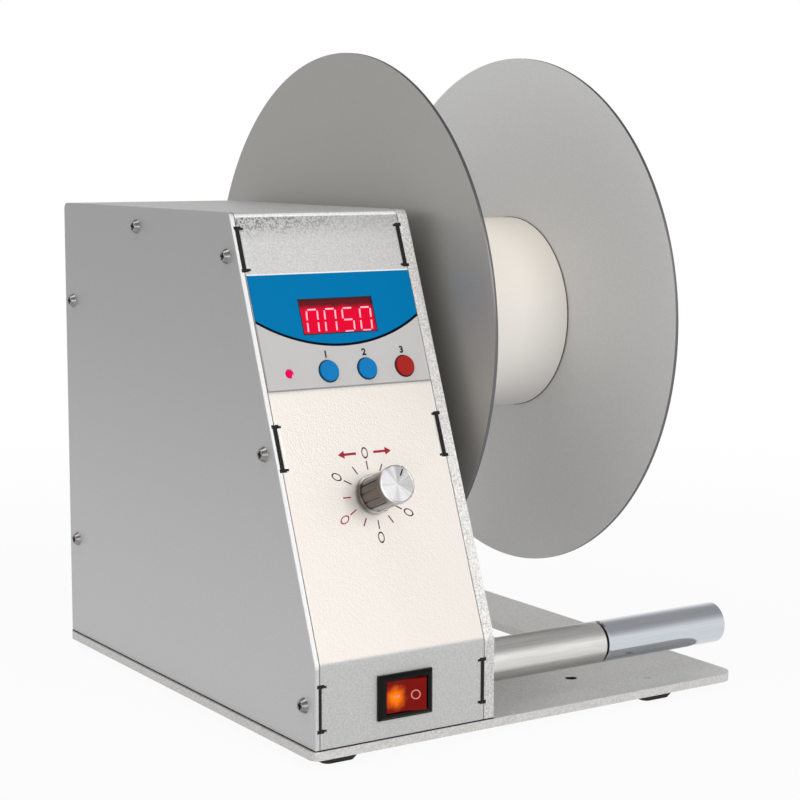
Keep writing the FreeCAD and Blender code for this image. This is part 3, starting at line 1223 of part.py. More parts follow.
def make_sensor():
    flag_middle = "(%s + flag_thickness / 2)" % FLAG_AT
    left = "(%s - sensor_slot / 2 - sensor_wall)" % flag_middle
    low = "%s + flag_reach * sin(%s) - sensor_height / 2" % (PIVOT_Z, ARM_DROP)
    block = box("sensor_block", "%s - %s" % (PLATE_IN, left), "sensor_depth", "sensor_height")
    place(block, left, "%s + sensor_reach - sensor_depth" % PIVOT_Y, low)
    gap = box("sensor_gap", "sensor_slot", "sensor_depth - sensor_back + 1", "sensor_height + 2")
    place(gap, "%s - sensor_slot / 2" % flag_middle, "%s + sensor_reach - sensor_depth - 1" % PIVOT_Y,
          low + " - 1")
    node(cut("sensor", block, [gap]), "slot_sensor")


def check_model():
    """Stop if any object failed or any piece is empty or broken."""
    doc.recompute()
    for obj in doc.Objects:
        if "Invalid" in obj.State or "Error" in obj.State:
            raise RuntimeError("failed object: %s" % obj.Name)
    for piece in nodes:
        if piece.Shape.isNull() or not piece.Shape.isValid() or not piece.Shape.Solids:
            raise RuntimeError("bad shape: %s" % piece.Label)


make_base_plate()
make_feet()
make_base_screws()
make_wrapper()
make_side_cover()
make_side_plate()
make_film()
make_display()
make_board()
make_buttons()
make_speed_control()
make_power_switch()
make_inlet()
make_bearing()
make_drive()
make_spindle()
make_reel()
make_outer_flange()
make_guide_bar()
make_arm()
make_sensor()
check_model()

os.makedirs("parts", exist_ok=True)
for piece in nodes:
    piece.Shape.exportStep("parts/%s.step" % piece.Label)
print("%d nodes written" % len(nodes))
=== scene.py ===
import json
import math

import bpy
from mathutils import Matrix, Vector


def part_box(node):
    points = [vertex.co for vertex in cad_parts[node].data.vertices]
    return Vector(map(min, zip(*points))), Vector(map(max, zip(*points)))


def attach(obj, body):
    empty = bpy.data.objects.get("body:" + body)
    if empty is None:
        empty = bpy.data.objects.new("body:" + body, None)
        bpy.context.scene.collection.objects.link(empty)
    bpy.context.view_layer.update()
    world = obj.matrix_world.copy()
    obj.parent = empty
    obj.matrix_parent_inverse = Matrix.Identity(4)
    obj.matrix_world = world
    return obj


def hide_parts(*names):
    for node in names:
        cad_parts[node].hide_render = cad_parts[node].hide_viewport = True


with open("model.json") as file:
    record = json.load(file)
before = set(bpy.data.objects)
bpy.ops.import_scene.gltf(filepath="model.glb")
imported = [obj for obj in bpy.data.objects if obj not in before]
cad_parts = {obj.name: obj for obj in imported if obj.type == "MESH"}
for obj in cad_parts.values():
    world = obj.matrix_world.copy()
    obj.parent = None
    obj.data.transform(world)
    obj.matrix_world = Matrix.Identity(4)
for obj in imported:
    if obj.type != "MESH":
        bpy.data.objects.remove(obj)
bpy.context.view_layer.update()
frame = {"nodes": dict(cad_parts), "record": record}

nodes = frame["nodes"]
slotOfNode = {part["node"]: part["material_slot"] for part in frame["record"]["subparts"]}
mm = 0.001

# The sloped panel: x runs from the housing's left face, along runs up the slope from the lip
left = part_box("side_cover")[0].x
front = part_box("housing_wrapper")[0].y
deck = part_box("housing_wrapper")[0].z
panel = {"lipHeight": 28 * mm, "setback": 55 * mm, "height": 170 * mm}
slope = math.atan2(panel["setback"], panel["height"] - panel["lipHeight"])
panelOrigin = Vector((left, front, deck + panel["lipHeight"]))
panelTurn = Matrix.Rotation(math.pi / 2 - slope, 4, "X")
panelFrame = Matrix.Translation(panelOrigin) @ panelTurn
spindleY = sum(corner.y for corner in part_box("outer_flange")) / 2
spindleZ = sum(corner.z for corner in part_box("outer_flange")) / 2
print("frame loaded")


# Node helpers

def addNode(tree, kind, sockets=None, **settings):
    node = tree.nodes.new("ShaderNode" + kind)
    for key, value in settings.items():
        setattr(node, key, value)
    for key, value in (sockets or {}).items():
        if isinstance(value, bpy.types.NodeSocket):
            tree.links.new(value, node.inputs[key])
        else:
            node.inputs[key].default_value = value
    return node


def mathNode(tree, operation, first, second=0.0):
    return addNode(tree, "Math", {0: first, 1: second}, operation=operation).outputs[0]


def objectPlace(tree, scale=(1, 1, 1), turn=(0, 0, 0), move=(0, 0, 0)):
    source = addNode(tree, "TexCoord").outputs["Object"]
    sockets = {"Vector": source, "Location": move, "Rotation": turn, "Scale": scale}
    return addNode(tree, "Mapping", sockets).outputs[0]


def panelPlace(tree, x=0.0, along=0.0, flat=False):
    # metres across and up the slope, counted from a point of the panel
    turn = Matrix.Rotation(slope - math.pi / 2, 4, "X")
    move = -(turn @ panelOrigin) - Vector((x * mm, along * mm, 0))
    place = objectPlace(tree, turn=(slope - math.pi / 2, 0, 0), move=move)
    return addNode(tree, "Mapping", {"Vector": place, "Scale": (1, 1, 0)}).outputs[0] if flat else place


def noiseNode(tree, place, scale, detail=3.0, roughness=0.55):
    sockets = {"Vector": place, "Scale": scale, "Detail": detail, "Roughness": roughness}
    return addNode(tree, "TexNoise", sockets).outputs[0]


def stepNode(tree, value, start, end, low=0.0, high=1.0):
    sockets = {0: value, 1: start, 2: end, 3: low, 4: high}
    return addNode(tree, "MapRange", sockets, interpolation_type="SMOOTHSTEP").outputs[0]


def mixColour(tree, share, first, second, blend="MIX"):
    sockets = {0: share, 6: first, 7: second}
    return addNode(tree, "Mix", sockets, data_type="RGBA", blend_type=blend).outputs[2]


def rgb(red, green, blue):
    # the colour as it looks on the screen, turned linear
    linear = [((c / 255 + 0.055) / 1.055) ** 2.4 if c > 10 else c / 3294.6 for c in (red, green, blue)]
    return (*linear, 1.0)


def startFinish(name, metallic=0.0, roughness=0.5, coat=0.0, shine=0.3):
    material = bpy.data.materials.new(name)
    material.use_nodes = True
    shader = material.node_tree.nodes["Principled BSDF"]
    shader.inputs["Metallic"].default_value = metallic
    shader.inputs["Roughness"].default_value = roughness
    shader.inputs["Coat Weight"].default_value = coat
    shader.inputs["Specular IOR Level"].default_value = 0.5 if metallic else shine
    return material, material.node_tree, shader


def dressFinish(tree, shader, colour, look):
    # fine grain and soft clouds over a colour, in its tone, its gloss and its surface
    place = objectPlace(tree, look.get("stretch", (1, 1, 1)))
    grain = stepNode(tree, noiseNode(tree, place, look.get("grainScale", 2500.0), 2.0), 0.3, 0.7)
    cloud = noiseNode(tree, objectPlace(tree), look.get("cloudScale", 14.0), 4.0)
    grainPart = mathNode(tree, "MULTIPLY_ADD", grain, look.get("grainTone", 0.06))
    grainPart.node.inputs[2].default_value = 1 - (look.get("grainTone", 0.06) + look.get("cloudTone", 0.04)) / 2
    value = mathNode(tree, "MULTIPLY_ADD", cloud, look.get("cloudTone", 0.04))
    tree.links.new(grainPart, value.node.inputs[2])
    toned = addNode(tree, "HueSaturation", {"Color": colour, "Value": value}).outputs[0]
    tree.links.new(toned, shader.inputs["Base Color"])
    gloss = mathNode(tree, "MULTIPLY_ADD", cloud, look.get("glossSpread", 0.12))
    gloss.node.inputs[2].default_value = look["roughness"] - look.get("glossSpread", 0.12) / 2
    tree.links.new(gloss, shader.inputs["Roughness"])
    bumpSockets = {"Strength": look.get("bump", 0.2), "Distance": look.get("depth", 0.02 * mm), "Height": grain}
    tree.links.new(addNode(tree, "Bump", bumpSockets).outputs[0], shader.inputs["Normal"])


def plainFinish(name, look):
    material, tree, shader = startFinish(name, look.get("metallic", 0.0), look["roughness"],
                                         look.get("coat", 0.0), look.get("shine", 0.3))
    dressFinish(tree, shader, rgb(*look["colour"]), look)
    return material


# Finishes that need no print or glow
finishLooks = {
    "plate_silver": {"colour": (202, 201, 199), "metallic": 0.45, "roughness": 0.42, "grainScale": 1600.0,
                     "grainTone": 0.26, "cloudTone": 0.06, "bump": 0.8, "depth": 0.04 * mm},
    "flange_silver": {"colour": (166, 164, 160), "metallic": 0.6, "roughness": 0.55, "grainScale": 1500.0,
                      "grainTone": 0.07, "cloudTone": 0.03, "cloudScale": 9.0, "bump": 0.25},
    "turned_aluminium": {"colour": (200, 200, 202), "metallic": 1.0, "roughness": 0.3, "grainScale": 900.0,
                         "stretch": (6, 0.6, 0.6), "grainTone": 0.16, "bump": 0.3},
    "cast_aluminium": {"colour": (150, 151, 153), "metallic": 0.8, "roughness": 0.6, "grainScale": 1200.0,
                       "grainTone": 0.2, "bump": 0.8, "depth": 0.08 * mm},
    "steel_shaft": {"colour": (186, 186, 188), "metallic": 1.0, "roughness": 0.25, "grainScale": 1500.0,
                    "stretch": (5, 0.5, 0.5), "grainTone": 0.12, "bump": 0.2},
    "bearing_steel": {"colour": (190, 190, 194), "metallic": 1.0, "roughness": 0.16, "grainTone": 0.05},
    "screw_steel": {"colour": (138, 136, 134), "metallic": 1.0, "roughness": 0.25, "grainScale": 3000.0,
                    "grainTone": 0.25, "cloudTone": 0.8, "cloudScale": 700.0, "bump": 0.3},
    "black_screw": {"colour": (34, 34, 34), "roughness": 0.45, "grainTone": 0.2, "bump": 0.3},
    "brass": {"colour": (214, 180, 110), "metallic": 1.0, "roughness": 0.3, "grainTone": 0.12},
    "motor_grey": {"colour": (112, 114, 116), "metallic": 0.3, "roughness": 0.45, "grainTone": 0.1},
    "foot_rubber": {"colour": (30, 30, 29), "roughness": 0.8, "grainScale": 1400.0, "grainTone": 0.3,
                    "bump": 0.5},
    "spacer_black": {"colour": (14, 14, 13), "roughness": 0.38, "shine": 0.12, "grainScale": 2600.0,
                     "grainTone": 0.25, "bump": 0.25},
    "module_grey": {"colour": (60, 34, 34), "roughness": 0.6, "grainTone": 0.1},
    "board_green": {"colour": (30, 104, 66), "roughness": 0.35, "coat": 0.3, "grainTone": 0.15},
    "key_blue": {"colour": (2, 122, 188), "roughness": 0.35, "shine": 0.12, "grainTone": 0.06, "bump": 0.1},
    "key_red": {"colour": (166, 32, 28), "roughness": 0.35, "shine": 0.12, "grainTone": 0.06, "bump": 0.1},
    "potentiometer_zinc": {"colour": (176, 176, 170), "metallic": 0.9, "roughness": 0.4, "grainTone": 0.15},
    "bar_satin": {"colour": (214, 213, 210), "metallic": 1.0, "roughness": 0.3, "grainScale": 700.0,
                  "stretch": (0.12, 3, 3), "grainTone": 0.12, "cloudTone": 0.08, "bump": 0.35},
    "bar_chrome": {"colour": (204, 208, 215), "metallic": 1.0, "roughness": 0.12, "grainScale": 500.0,
                   "stretch": (0.1, 3, 3), "grainTone": 0.05, "cloudTone": 0.03, "glossSpread": 0.05,
                   "bump": 0.1},
}
finishes = {slot: plainFinish(slot, look) for slot, look in finishLooks.items()}


def sheetFinish(look):
    # bead-blasted sheet, smooth and pale on the panel under the film; lengths in millimetres
    material, tree, shader = startFinish(look["name"], look["metallic"], look["roughness"])
    across, along, out = addNode(tree, "SeparateXYZ", {0: panelPlace(tree)}).outputs

    def fade(place, span, low=0.0, high=1.0):
        return stepNode(tree, place, span[0] * mm, span[1] * mm, low, high)

    low = fade(along, look["paleTop"], 1.0, 0.0)
    onSlope = fade(out, look["slopeOut"])
    pale = mathNode(tree, "MULTIPLY", low, onSlope)
    pale = mathNode(tree, "MULTIPLY", pale, fade(along, look["paleFoot"]))
    # the strip over the film is lightened a little and painted darker towards the bend as shade; the bend
    # itself gets a painted highlight
    strip = (look["shadeFrom"], look["bendAt"])
    shade = fade(along, strip, 1.0, look["shade"])
    shade = mathNode(tree, "MULTIPLY", shade, fade(along, look["liftSpan"], 1.0, look["lift"]))
    shaded = addNode(tree, "HueSaturation", {"Color": rgb(*look["blasted"]), "Value": shade}).outputs[0]
    blasted = mixColour(tree, onSlope, rgb(*look["blasted"]), shaded)
    # dark specks on the strip, fewer towards its right
    speck = stepNode(tree, noiseNode(tree, objectPlace(tree), look["speckScale"], 1.0), *look["speckStep"])
    speck = mathNode(tree, "MULTIPLY", onSlope, speck)
    speck = mathNode(tree, "MULTIPLY", speck, fade(along, strip, 0.0, look["speck"]))
    speck = mathNode(tree, "MULTIPLY", speck, fade(across, look["speckSpan"], 1.0, look["speckRight"]))
    blasted = mixColour(tree, speck, blasted, rgb(*look["speckColour"]))
    # a painted highlight along the bend at the top of the slope
    bend = (look["bendAt"] - look["bendHighlightWidth"], look["bendAt"])
    bright = mathNode(tree, "MULTIPLY", onSlope, fade(along, bend))
    blasted = mixColour(tree, bright, blasted, rgb(*look["bendHighlight"]))
    colour = mixColour(tree, pale, blasted, rgb(*look["panel"]))
    dressFinish(tree, shader, colour, look)
    # the panel itself has no grain in its colour
    toned = shader.inputs["Base Color"].links[0].from_socket
    tree.links.new(mixColour(tree, pale, toned, rgb(*look["panel"])), shader.inputs["Base Color"])
    return material


finishes["sheet_silver"] = sheetFinish({
    "name": "sheet_silver", "blasted": (188, 188, 188), "panel": (226, 220, 214), "bendHighlight": (244, 244, 244),
    "metallic": 0.3, "roughness": 0.48, "grainScale": 1500.0, "grainTone": 0.2, "cloudTone": 0.05,
    "cloudScale": 11.0, "bump": 0.8, "depth": 0.04 * mm, "paleTop": (88.5, 90.5), "paleFoot": (0.0, 1.5),
    "slopeOut": (-0.4, -0.2), "shadeFrom": 141.0, "bendAt": 150.7, "bendHighlightWidth": 0.3, "shade": 0.84,
    "liftSpan": (90, 130), "lift": 1.1, "speck": 0.85, "speckScale": 1300.0, "speckStep": (0.47, 0.6),
    "speckSpan": (0.0, 55), "speckRight": 0.3, "speckColour": (70, 70, 70)})


# Where the painted edge highlight begins below the slope, and how high the painted shade on the side changes
highlightAndShadeSpan = {"from": -0.5, "to": -0.3, "height": 180}


def edgeHighlightFinish(name, look):
    # a painted highlight where the piece's edge shows on the slope, and painted shade that makes it a little
    # darker towards its top
    material, tree, shader = startFinish(name, look["metallic"], look["roughness"])
    out = addNode(tree, "SeparateXYZ", {0: panelPlace(tree)}).outputs[2]
    onSlope = stepNode(tree, out, highlightAndShadeSpan["from"] * mm, highlightAndShadeSpan["to"] * mm)
    height = addNode(tree, "SeparateXYZ", {0: objectPlace(tree)}).outputs[2]
    tone = stepNode(tree, height, 0.0, highlightAndShadeSpan["height"] * mm, look["lowTone"], look["highTone"])
    face = addNode(tree, "HueSaturation", {"Color": rgb(*look["colour"]), "Value": tone}).outputs[0]
    dressFinish(tree, shader, mixColour(tree, onSlope, face, rgb(*look["edge"])), look)
    return material


ownFinishes = {
    "side_cover": edgeHighlightFinish("coverSilver", {
        "colour": (184, 184, 184), "edge": (224, 224, 224), "lowTone": 1.2, "highTone": 0.8,
        "metallic": 0.3, "roughness": 0.48, "grainScale": 1500.0, "grainTone": 0.07, "cloudTone": 0.07,
        "cloudScale": 16.0, "bump": 0.5, "depth": 0.03 * mm}),
    "side_plate": edgeHighlightFinish("sidePlateSilver", {
        "colour": (200, 199, 197), "edge": (212, 211, 209), "lowTone": 1.0, "highTone": 1.0,
        "metallic": 0.4, "roughness": 0.42, "grainScale": 1500.0, "grainTone": 0.45, "cloudTone": 0.06,
        "bump": 1.0, "depth": 0.05 * mm})}


def drumFinish(look):
    material, tree, shader = startFinish("drum_cream", 0.0, look["roughness"])
    height = addNode(tree, "SeparateXYZ", {0: objectPlace(tree)}).outputs[2]
    # painted light by height: warm cream on top where the light falls, whiter below where the floor lights it
    share = stepNode(tree, height, spindleZ - look["below"] * mm, spindleZ + look["above"] * mm)
    dressFinish(tree, shader, mixColour(tree, share, rgb(*look["under"]), rgb(*look["top"])), look)
    return material


finishes["drum_cream"] = drumFinish({"under": (238, 236, 232), "top": (238, 231, 222), "below": 30,
                                     "above": 38, "roughness": 0.5, "grainTone": 0.03, "cloudTone": 0.03,
                                     "bump": 0.1})


# The film's print: blue above an arc with a dark outline, light grey below it
filmPrint = {"left": (0.8, 114.2), "middle": (31.5, 104.3), "right": (65.5, 113.3), "outline": 1.0,
             "low": 90.2, "high": 130.5, "blue": (0, 118, 176), "ink": (4, 10, 30), "grey": (198, 197, 196),
             "edge": (242, 244, 246), "lowEdgeShade": (150, 150, 150), "soft": 0.1, "topLine": (0.55, 0.4),
             "lowLine": (0.3, 0.5), "roughness": 0.32}


def arcThrough(first, middle, last):
    (ax, ay), (bx, by), (cx, cy) = first, middle, last
    d = 2 * (ax * (by - cy) + bx * (cy - ay) + cx * (ay - by))
    a, b, c = ax * ax + ay * ay, bx * bx + by * by, cx * cx + cy * cy
    x = (a * (by - cy) + b * (cy - ay) + c * (ay - by)) / d
    y = (a * (cx - bx) + b * (ax - cx) + c * (bx - ax)) / d
    return x, y, math.hypot(ax - x, ay - y)


def filmFinish(look):
    material, tree, shader = startFinish("film_blue", 0.0, look["roughness"], shine=0.03)
    arcX, arcAlong, arcRadius = arcThrough(look["left"], look["middle"], look["right"])
    spread = addNode(tree, "VectorMath", {0: panelPlace(tree, arcX, arcAlong, True)}, operation="LENGTH")
    reach = spread.outputs["Value"]
    inner = arcRadius - look["outline"]
    inside = stepNode(tree, reach, inner * mm, (inner + look["soft"]) * mm, 1.0, 0.0)
    outside = stepNode(tree, reach, (arcRadius - look["soft"]) * mm, arcRadius * mm)
    colour = mixColour(tree, inside, rgb(*look["ink"]), rgb(*look["blue"]))
    colour = mixColour(tree, outside, colour, rgb(*look["grey"]))
    along = addNode(tree, "SeparateXYZ", {0: panelPlace(tree)}).outputs[1]
    # a pale line along the film's top edge and a grey one along its low edge, painted highlight and painted
    # shade on its cut edges
    topLine = stepNode(tree, along, *((look["high"] - inset) * mm for inset in look["topLine"]))
    lowLine = stepNode(tree, along, *((look["low"] + inset) * mm for inset in look["lowLine"]), 1.0, 0.0)
    colour = mixColour(tree, topLine, colour, rgb(*look["edge"]))
    colour = mixColour(tree, lowLine, colour, rgb(*look["lowEdgeShade"]))
    dressFinish(tree, shader, colour, {"roughness": look["roughness"], "grainTone": 0.05, "cloudTone": 0.05,
                                       "grainScale": 3200.0, "bump": 0.12})
    return material


finishes["film_blue"] = filmFinish(filmPrint)


def glowFinish(name, look, lit):
    # a clear coloured plastic, lit from behind where the share given by lit is high
    material, tree, shader = startFinish(name, 0.0, look["roughness"], shine=0.08)
    share = lit(tree)
    dressFinish(tree, shader, mixColour(tree, share, rgb(*look["dark"]), rgb(*look["bright"])), look)
    glow = mixColour(tree, share, rgb(*look.get("ember", (0, 0, 0))), rgb(*look["glow"]))
    tree.links.new(glow, shader.inputs["Emission Color"])
    shader.inputs["Emission Strength"].default_value = look["strength"]
    return material


# The light's edge in the display, rippled, where the painted highlight on the lamp sits and how far it reaches,
# and how far the rocker's light reaches
displayGlow = {"rippleScale": 260.0, "ripple": 2.2, "lit": 118.0, "dark": 120.4}
lampHighlight = {"x": 11.9, "along": 95.0, "lit": 0.25, "dark": 0.6}
rockerGlow = {"left": 4.2, "down": 0.4, "cloudScale": 420.0, "cloud": 3.0, "lit": 1.0, "dark": 6.6}


def displayLit(tree):
    place = panelPlace(tree)
    along = addNode(tree, "SeparateXYZ", {0: place}).outputs[1]
    ripple = mathNode(tree, "MULTIPLY_ADD", noiseNode(tree, place, displayGlow["rippleScale"], 1.0),
                      displayGlow["ripple"] * mm)
    tree.links.new(along, ripple.node.inputs[2])
    return stepNode(tree, ripple, displayGlow["lit"] * mm, displayGlow["dark"] * mm, 1.0, 0.0)


finishes["display_red"] = glowFinish("display_red", {
    "dark": (104, 24, 32), "bright": (110, 0, 24), "glow": (226, 0, 44), "strength": 0.85, "roughness": 0.2,
    "grainTone": 0.08, "bump": 0.05}, displayLit)


def lampHighlightShare(tree):
    # a painted highlight: a small bright spot low on its right, glowing brighter too
    place = panelPlace(tree, lampHighlight["x"], lampHighlight["along"], True)
    spread = addNode(tree, "VectorMath", {0: place}, operation="LENGTH").outputs["Value"]
    return stepNode(tree, spread, lampHighlight["lit"] * mm, lampHighlight["dark"] * mm, 1.0, 0.0)


finishes["lamp_red"] = glowFinish("lamp_red", {
    "dark": (150, 0, 44), "bright": (255, 220, 230), "glow": (255, 120, 160), "ember": (190, 0, 80),
    "strength": 1.0, "roughness": 0.2, "bump": 0.05}, lampHighlightShare)

rockerLow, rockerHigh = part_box("power_rocker")
rockerMiddle = (rockerLow + rockerHigh) / 2


def rockerLit(tree):
    x, z = rockerMiddle.x - rockerGlow["left"] * mm, rockerMiddle.z - rockerGlow["down"] * mm
    place = objectPlace(tree, (1, 0, 1), move=(-x, 0, -z))
    spread = addNode(tree, "VectorMath", {0: place}, operation="LENGTH").outputs["Value"]
    cloud = noiseNode(tree, place, rockerGlow["cloudScale"], 2.0)
    cloud = mathNode(tree, "MULTIPLY_ADD", cloud, rockerGlow["cloud"] * mm)
    tree.links.new(spread, cloud.node.inputs[2])
    return stepNode(tree, cloud, rockerGlow["lit"] * mm, rockerGlow["dark"] * mm, 1.0, 0.0)


finishes["rocker_red"] = glowFinish("rocker_red", {
    "dark": (110, 10, 8), "bright": (236, 120, 10), "glow": (255, 106, 0), "ember": (70, 4, 0),
    "strength": 0.75, "roughness": 0.22, "bump": 0.05}, rockerLit)


# The knob: spun face with streaks round its middle that are painted conic highlights, and a fluted side of the
# same metal painted darker as shade
knobLook = {"x": 33.75, "along": 52.9, "colour": (198, 198, 200), "side": (112, 106, 99),
            "lit": (236, 236, 238), "roughness": 0.28, "faceAt": 16.2, "rimFrom": 14.1, "baseFrom": 0.8,
            "baseTo": 2.7, "baseRadius": 6.75, "bodyRadius": 6.3, "rimRadius": 6.45, "flutes": 14, "facets": 6,
            "fluteDepth": 0.3, "fluteShare": 0.84, "streakStep": (0.36, 0.62), "streakTone": (0.68, 1.2),
            "litFrom": 0.5, "litTo": 0.95, "underFrom": 0.7, "underShare": 0.5, "overlap": 0.05,
            "faceInset": 0.3, "faceDrop": 0.12, "smooth": 19, "pointerTurn": 32.0, "pointerAt": 4.4,
            "pointerWidth": 0.5, "pointerLength": 2.6}


def knobFinish(look):
    material, tree, shader = startFinish("knob_silver", 1.0, look["roughness"])
    place = panelPlace(tree, look["x"], look["along"])
    height = addNode(tree, "SeparateXYZ", {0: place}).outputs[2]
    around = addNode(tree, "TexGradient", {0: place}, gradient_type="RADIAL").outputs[1]
    sockets = {"W": around, "Scale": 5.0, "Detail": 3.0}
    streaksAndHighlight = addNode(tree, "TexNoise", sockets, noise_dimensions="1D").outputs[0]
    streaksAndHighlight = stepNode(tree, streaksAndHighlight, *look["streakStep"], *look["streakTone"])
    face = stepNode(tree, height, (look["faceAt"] - 1.0) * mm, (look["faceAt"] - 0.3) * mm)
    spun = addNode(tree, "HueSaturation", {"Color": rgb(*look["colour"]), "Value": streaksAndHighlight}).outputs[0]
    # a painted highlight along the side's top and, weaker, along its foot
    upward = addNode(tree, "SeparateXYZ", {0: place}).outputs[1]
    radius = look["bodyRadius"]
    sideHighlight = stepNode(tree, upward, look["litFrom"] * radius * mm, look["litTo"] * radius * mm)
    under = stepNode(tree, upward, -look["underFrom"] * radius * mm, -radius * mm, 0.0, look["underShare"])
    side = mixColour(tree, mathNode(tree, "MAXIMUM", sideHighlight, under), rgb(*look["side"]), rgb(*look["lit"]))
    dressFinish(tree, shader, mixColour(tree, face, side, spun), {
        "roughness": look["roughness"], "grainTone": 0.05, "glossSpread": 0.06, "bump": 0.1})
    return material


finishes["knob_silver"] = knobFinish(knobLook)

for name, node in nodes.items():
    node.data.materials.clear()
    node.data.materials.append(ownFinishes.get(name, finishes[slotOfNode[name]]))
print("finishes made")

# Broken edges on the plates, the side cover and the rocker's frame
edgeBreak = {"base_plate": 0.35, "side_plate": 0.3, "side_cover": 0.2, "rocker_frame": 0.7}
for name, width in edgeBreak.items():
    weld = nodes[name].modifiers.new("weld", "WELD")
    weld.merge_threshold = 0.001 * mm
    bevel = nodes[name].modifiers.new("edges", "BEVEL")
    bevel.width = width * mm
    bevel.segments = 2
    bevel.limit_method = "ANGLE"
    bevel.angle_limit = math.radians(50)
    bevel.harden_normals = False


# Piece helpers

def clearSelection():
    if bpy.context.object and bpy.context.object.mode != "OBJECT":
        bpy.ops.object.mode_set(mode="OBJECT")
    bpy.ops.object.select_all(action="DESELECT")


def selectFaces(piece, wanted):
    # leaves the piece in edit mode with only the wanted faces selected
    bpy.ops.object.mode_set(mode="EDIT")
    bpy.ops.mesh.select_mode(type="FACE")
    bpy.ops.mesh.select_all(action="DESELECT")
    bpy.ops.object.mode_set(mode="OBJECT")
    for face in piece.data.polygons:
        face.select = wanted(face)
    bpy.ops.object.mode_set(mode="EDIT")


def joinPieces(parts, name):
    clearSelection()
    for part in parts:
        part.select_set(True)
    bpy.context.view_layer.objects.active = parts[0]
    if len(parts) > 1:
        bpy.ops.object.join()
    parts[0].name = name
    return parts[0]


def settle(piece, where, body, material):
    # puts a piece that was made in a flat frame in its place, and gives it its body and finish
    clearSelection()
    piece.select_set(True)
    bpy.context.view_layer.objects.active = piece
    bpy.context.view_layer.update()
    piece.matrix_world = where @ piece.matrix_world
    bpy.ops.object.transform_apply(location=True, rotation=True, scale=True)
    piece.data.materials.clear()
    piece.data.materials.append(material)
    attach(piece, body)
    return piece


def markPlate(x, along, width, height, turn=0.0, base=0.0, thickness=0.04, taper=0.0):
    # a thin flat bar for print, glowing segments and painted shade, with its ends drawn in where taper is given
    clearSelection()
    bpy.ops.mesh.primitive_cube_add(size=1, location=(x * mm, along * mm, (base + thickness / 2) * mm),
                                    rotation=(0, 0, turn), scale=(width * mm, height * mm, thickness * mm))
    plate = bpy.context.object
    bpy.ops.object.mode_set(mode="EDIT")
    bpy.ops.mesh.select_mode(type="EDGE")
    bpy.ops.mesh.select_all(action="DESELECT")
    bpy.ops.object.mode_set(mode="OBJECT")
    for edge in plate.data.edges:        # the upright ones; the mesh itself is still a cube of size 1
        ends = [plate.data.vertices[i].co for i in edge.vertices]
        edge.select = abs(ends[0].z - ends[1].z) > 0.5
    bpy.ops.object.mode_set(mode="EDIT")
    bpy.ops.mesh.bevel(offset=(taper or 0.2 * min(width, height)) * mm, segments=1 if taper else 2)
    bpy.ops.object.mode_set(mode="OBJECT")
    return plate


def inkAndShadeFinish(name, colour, roughness=0.45):
    return plainFinish(name, {"colour": colour, "roughness": roughness, "grainTone": 0.12, "cloudTone": 0.1,
                              "cloudScale": 300.0, "bump": 0.05})


maroonInk = inkAndShadeFinish("maroonInk", (74, 26, 42))
crimsonInk = inkAndShadeFinish("crimsonInk", (160, 8, 48))
navyInkAndShade = inkAndShadeFinish("navyInkAndShade", (14, 20, 44))

# The dial printed round the knob: ticks at 30 degrees, a plain 0 at every other one, two arrows
dial = {"x": knobLook["x"], "along": knobLook["along"], "ticks": 12, "tickFrom": 8.6, "tickTo": 11.6,
        "tickWidth": 0.42, "crimsonTicks": (8, 9), "crimsonZero": 8, "zeroAt": 14.4, "zeroWidth": 2.1,
        "zeroHeight": 3.4, "zeroDepth": 0.2, "line": 0.36, "arrowAt": 3.4, "arrowLength": 6.3,
        "arrowLine": 0.85, "arrowHead": 1.6, "arrowTip": 1.2, "tipBack": 0.9, "thickness": 0.04}


def dialZero(turn):
    clearSelection()
    bpy.ops.mesh.primitive_torus_add(major_radius=0.5, minor_radius=0.5 * dial["line"] / dial["zeroWidth"],
                                     major_segments=32, minor_segments=8)
    zero = bpy.context.object
    sizes = Matrix.Diagonal((dial["zeroWidth"] * mm, dial["zeroHeight"] * mm, dial["zeroDepth"] * mm, 1))
    spot = Vector((dial["x"] + dial["zeroAt"] * math.sin(turn),
                   dial["along"] + dial["zeroAt"] * math.cos(turn)))
    zero.matrix_world = (Matrix.Translation((spot.x * mm, spot.y * mm, 0.01 * mm))
                         @ Matrix.Rotation(-turn, 4, "Z") @ sizes)
    return zero


def dialArrow(way):
    x = dial["x"] + way * (dial["arrowAt"] + dial["arrowLength"] / 2)
    along = dial["along"] + dial["zeroAt"]
    shaft = markPlate(x - way * dial["arrowTip"] / 2, along, dial["arrowLength"] - dial["arrowTip"],
                     dial["arrowLine"])
    clearSelection()
    tip = dial["x"] + way * (dial["arrowAt"] + dial["arrowLength"] - dial["tipBack"])
    bpy.ops.mesh.primitive_cylinder_add(vertices=3, radius=dial["arrowHead"] * mm,
                                        depth=dial["thickness"] * mm,
                                        location=(tip * mm, along * mm, dial["thickness"] / 2 * mm),
                                        rotation=(0, 0, -way * math.pi / 2))
    return [shaft, bpy.context.object]


marks = {"maroon": [], "crimson": []}
for i in range(dial["ticks"]):
    turn = math.radians(360 / dial["ticks"] * i)
    middle = (dial["tickFrom"] + dial["tickTo"]) / 2
    ink = "crimson" if i in dial["crimsonTicks"] else "maroon"
    marks[ink].append(markPlate(dial["x"] + middle * math.sin(turn), dial["along"] + middle * math.cos(turn),
                               dial["tickWidth"], dial["tickTo"] - dial["tickFrom"], -turn))
    if i % 2 == 0:
        marks["crimson" if i == dial["crimsonZero"] else "maroon"].append(dialZero(turn))
marks["crimson"] += dialArrow(-1) + dialArrow(1)
settle(joinPieces(marks["maroon"], "dialMarks"), panelFrame, "housing", maroonInk)
settle(joinPieces(marks["crimson"], "dialArrows"), panelFrame, "housing", crimsonInk)
print("dial printed")
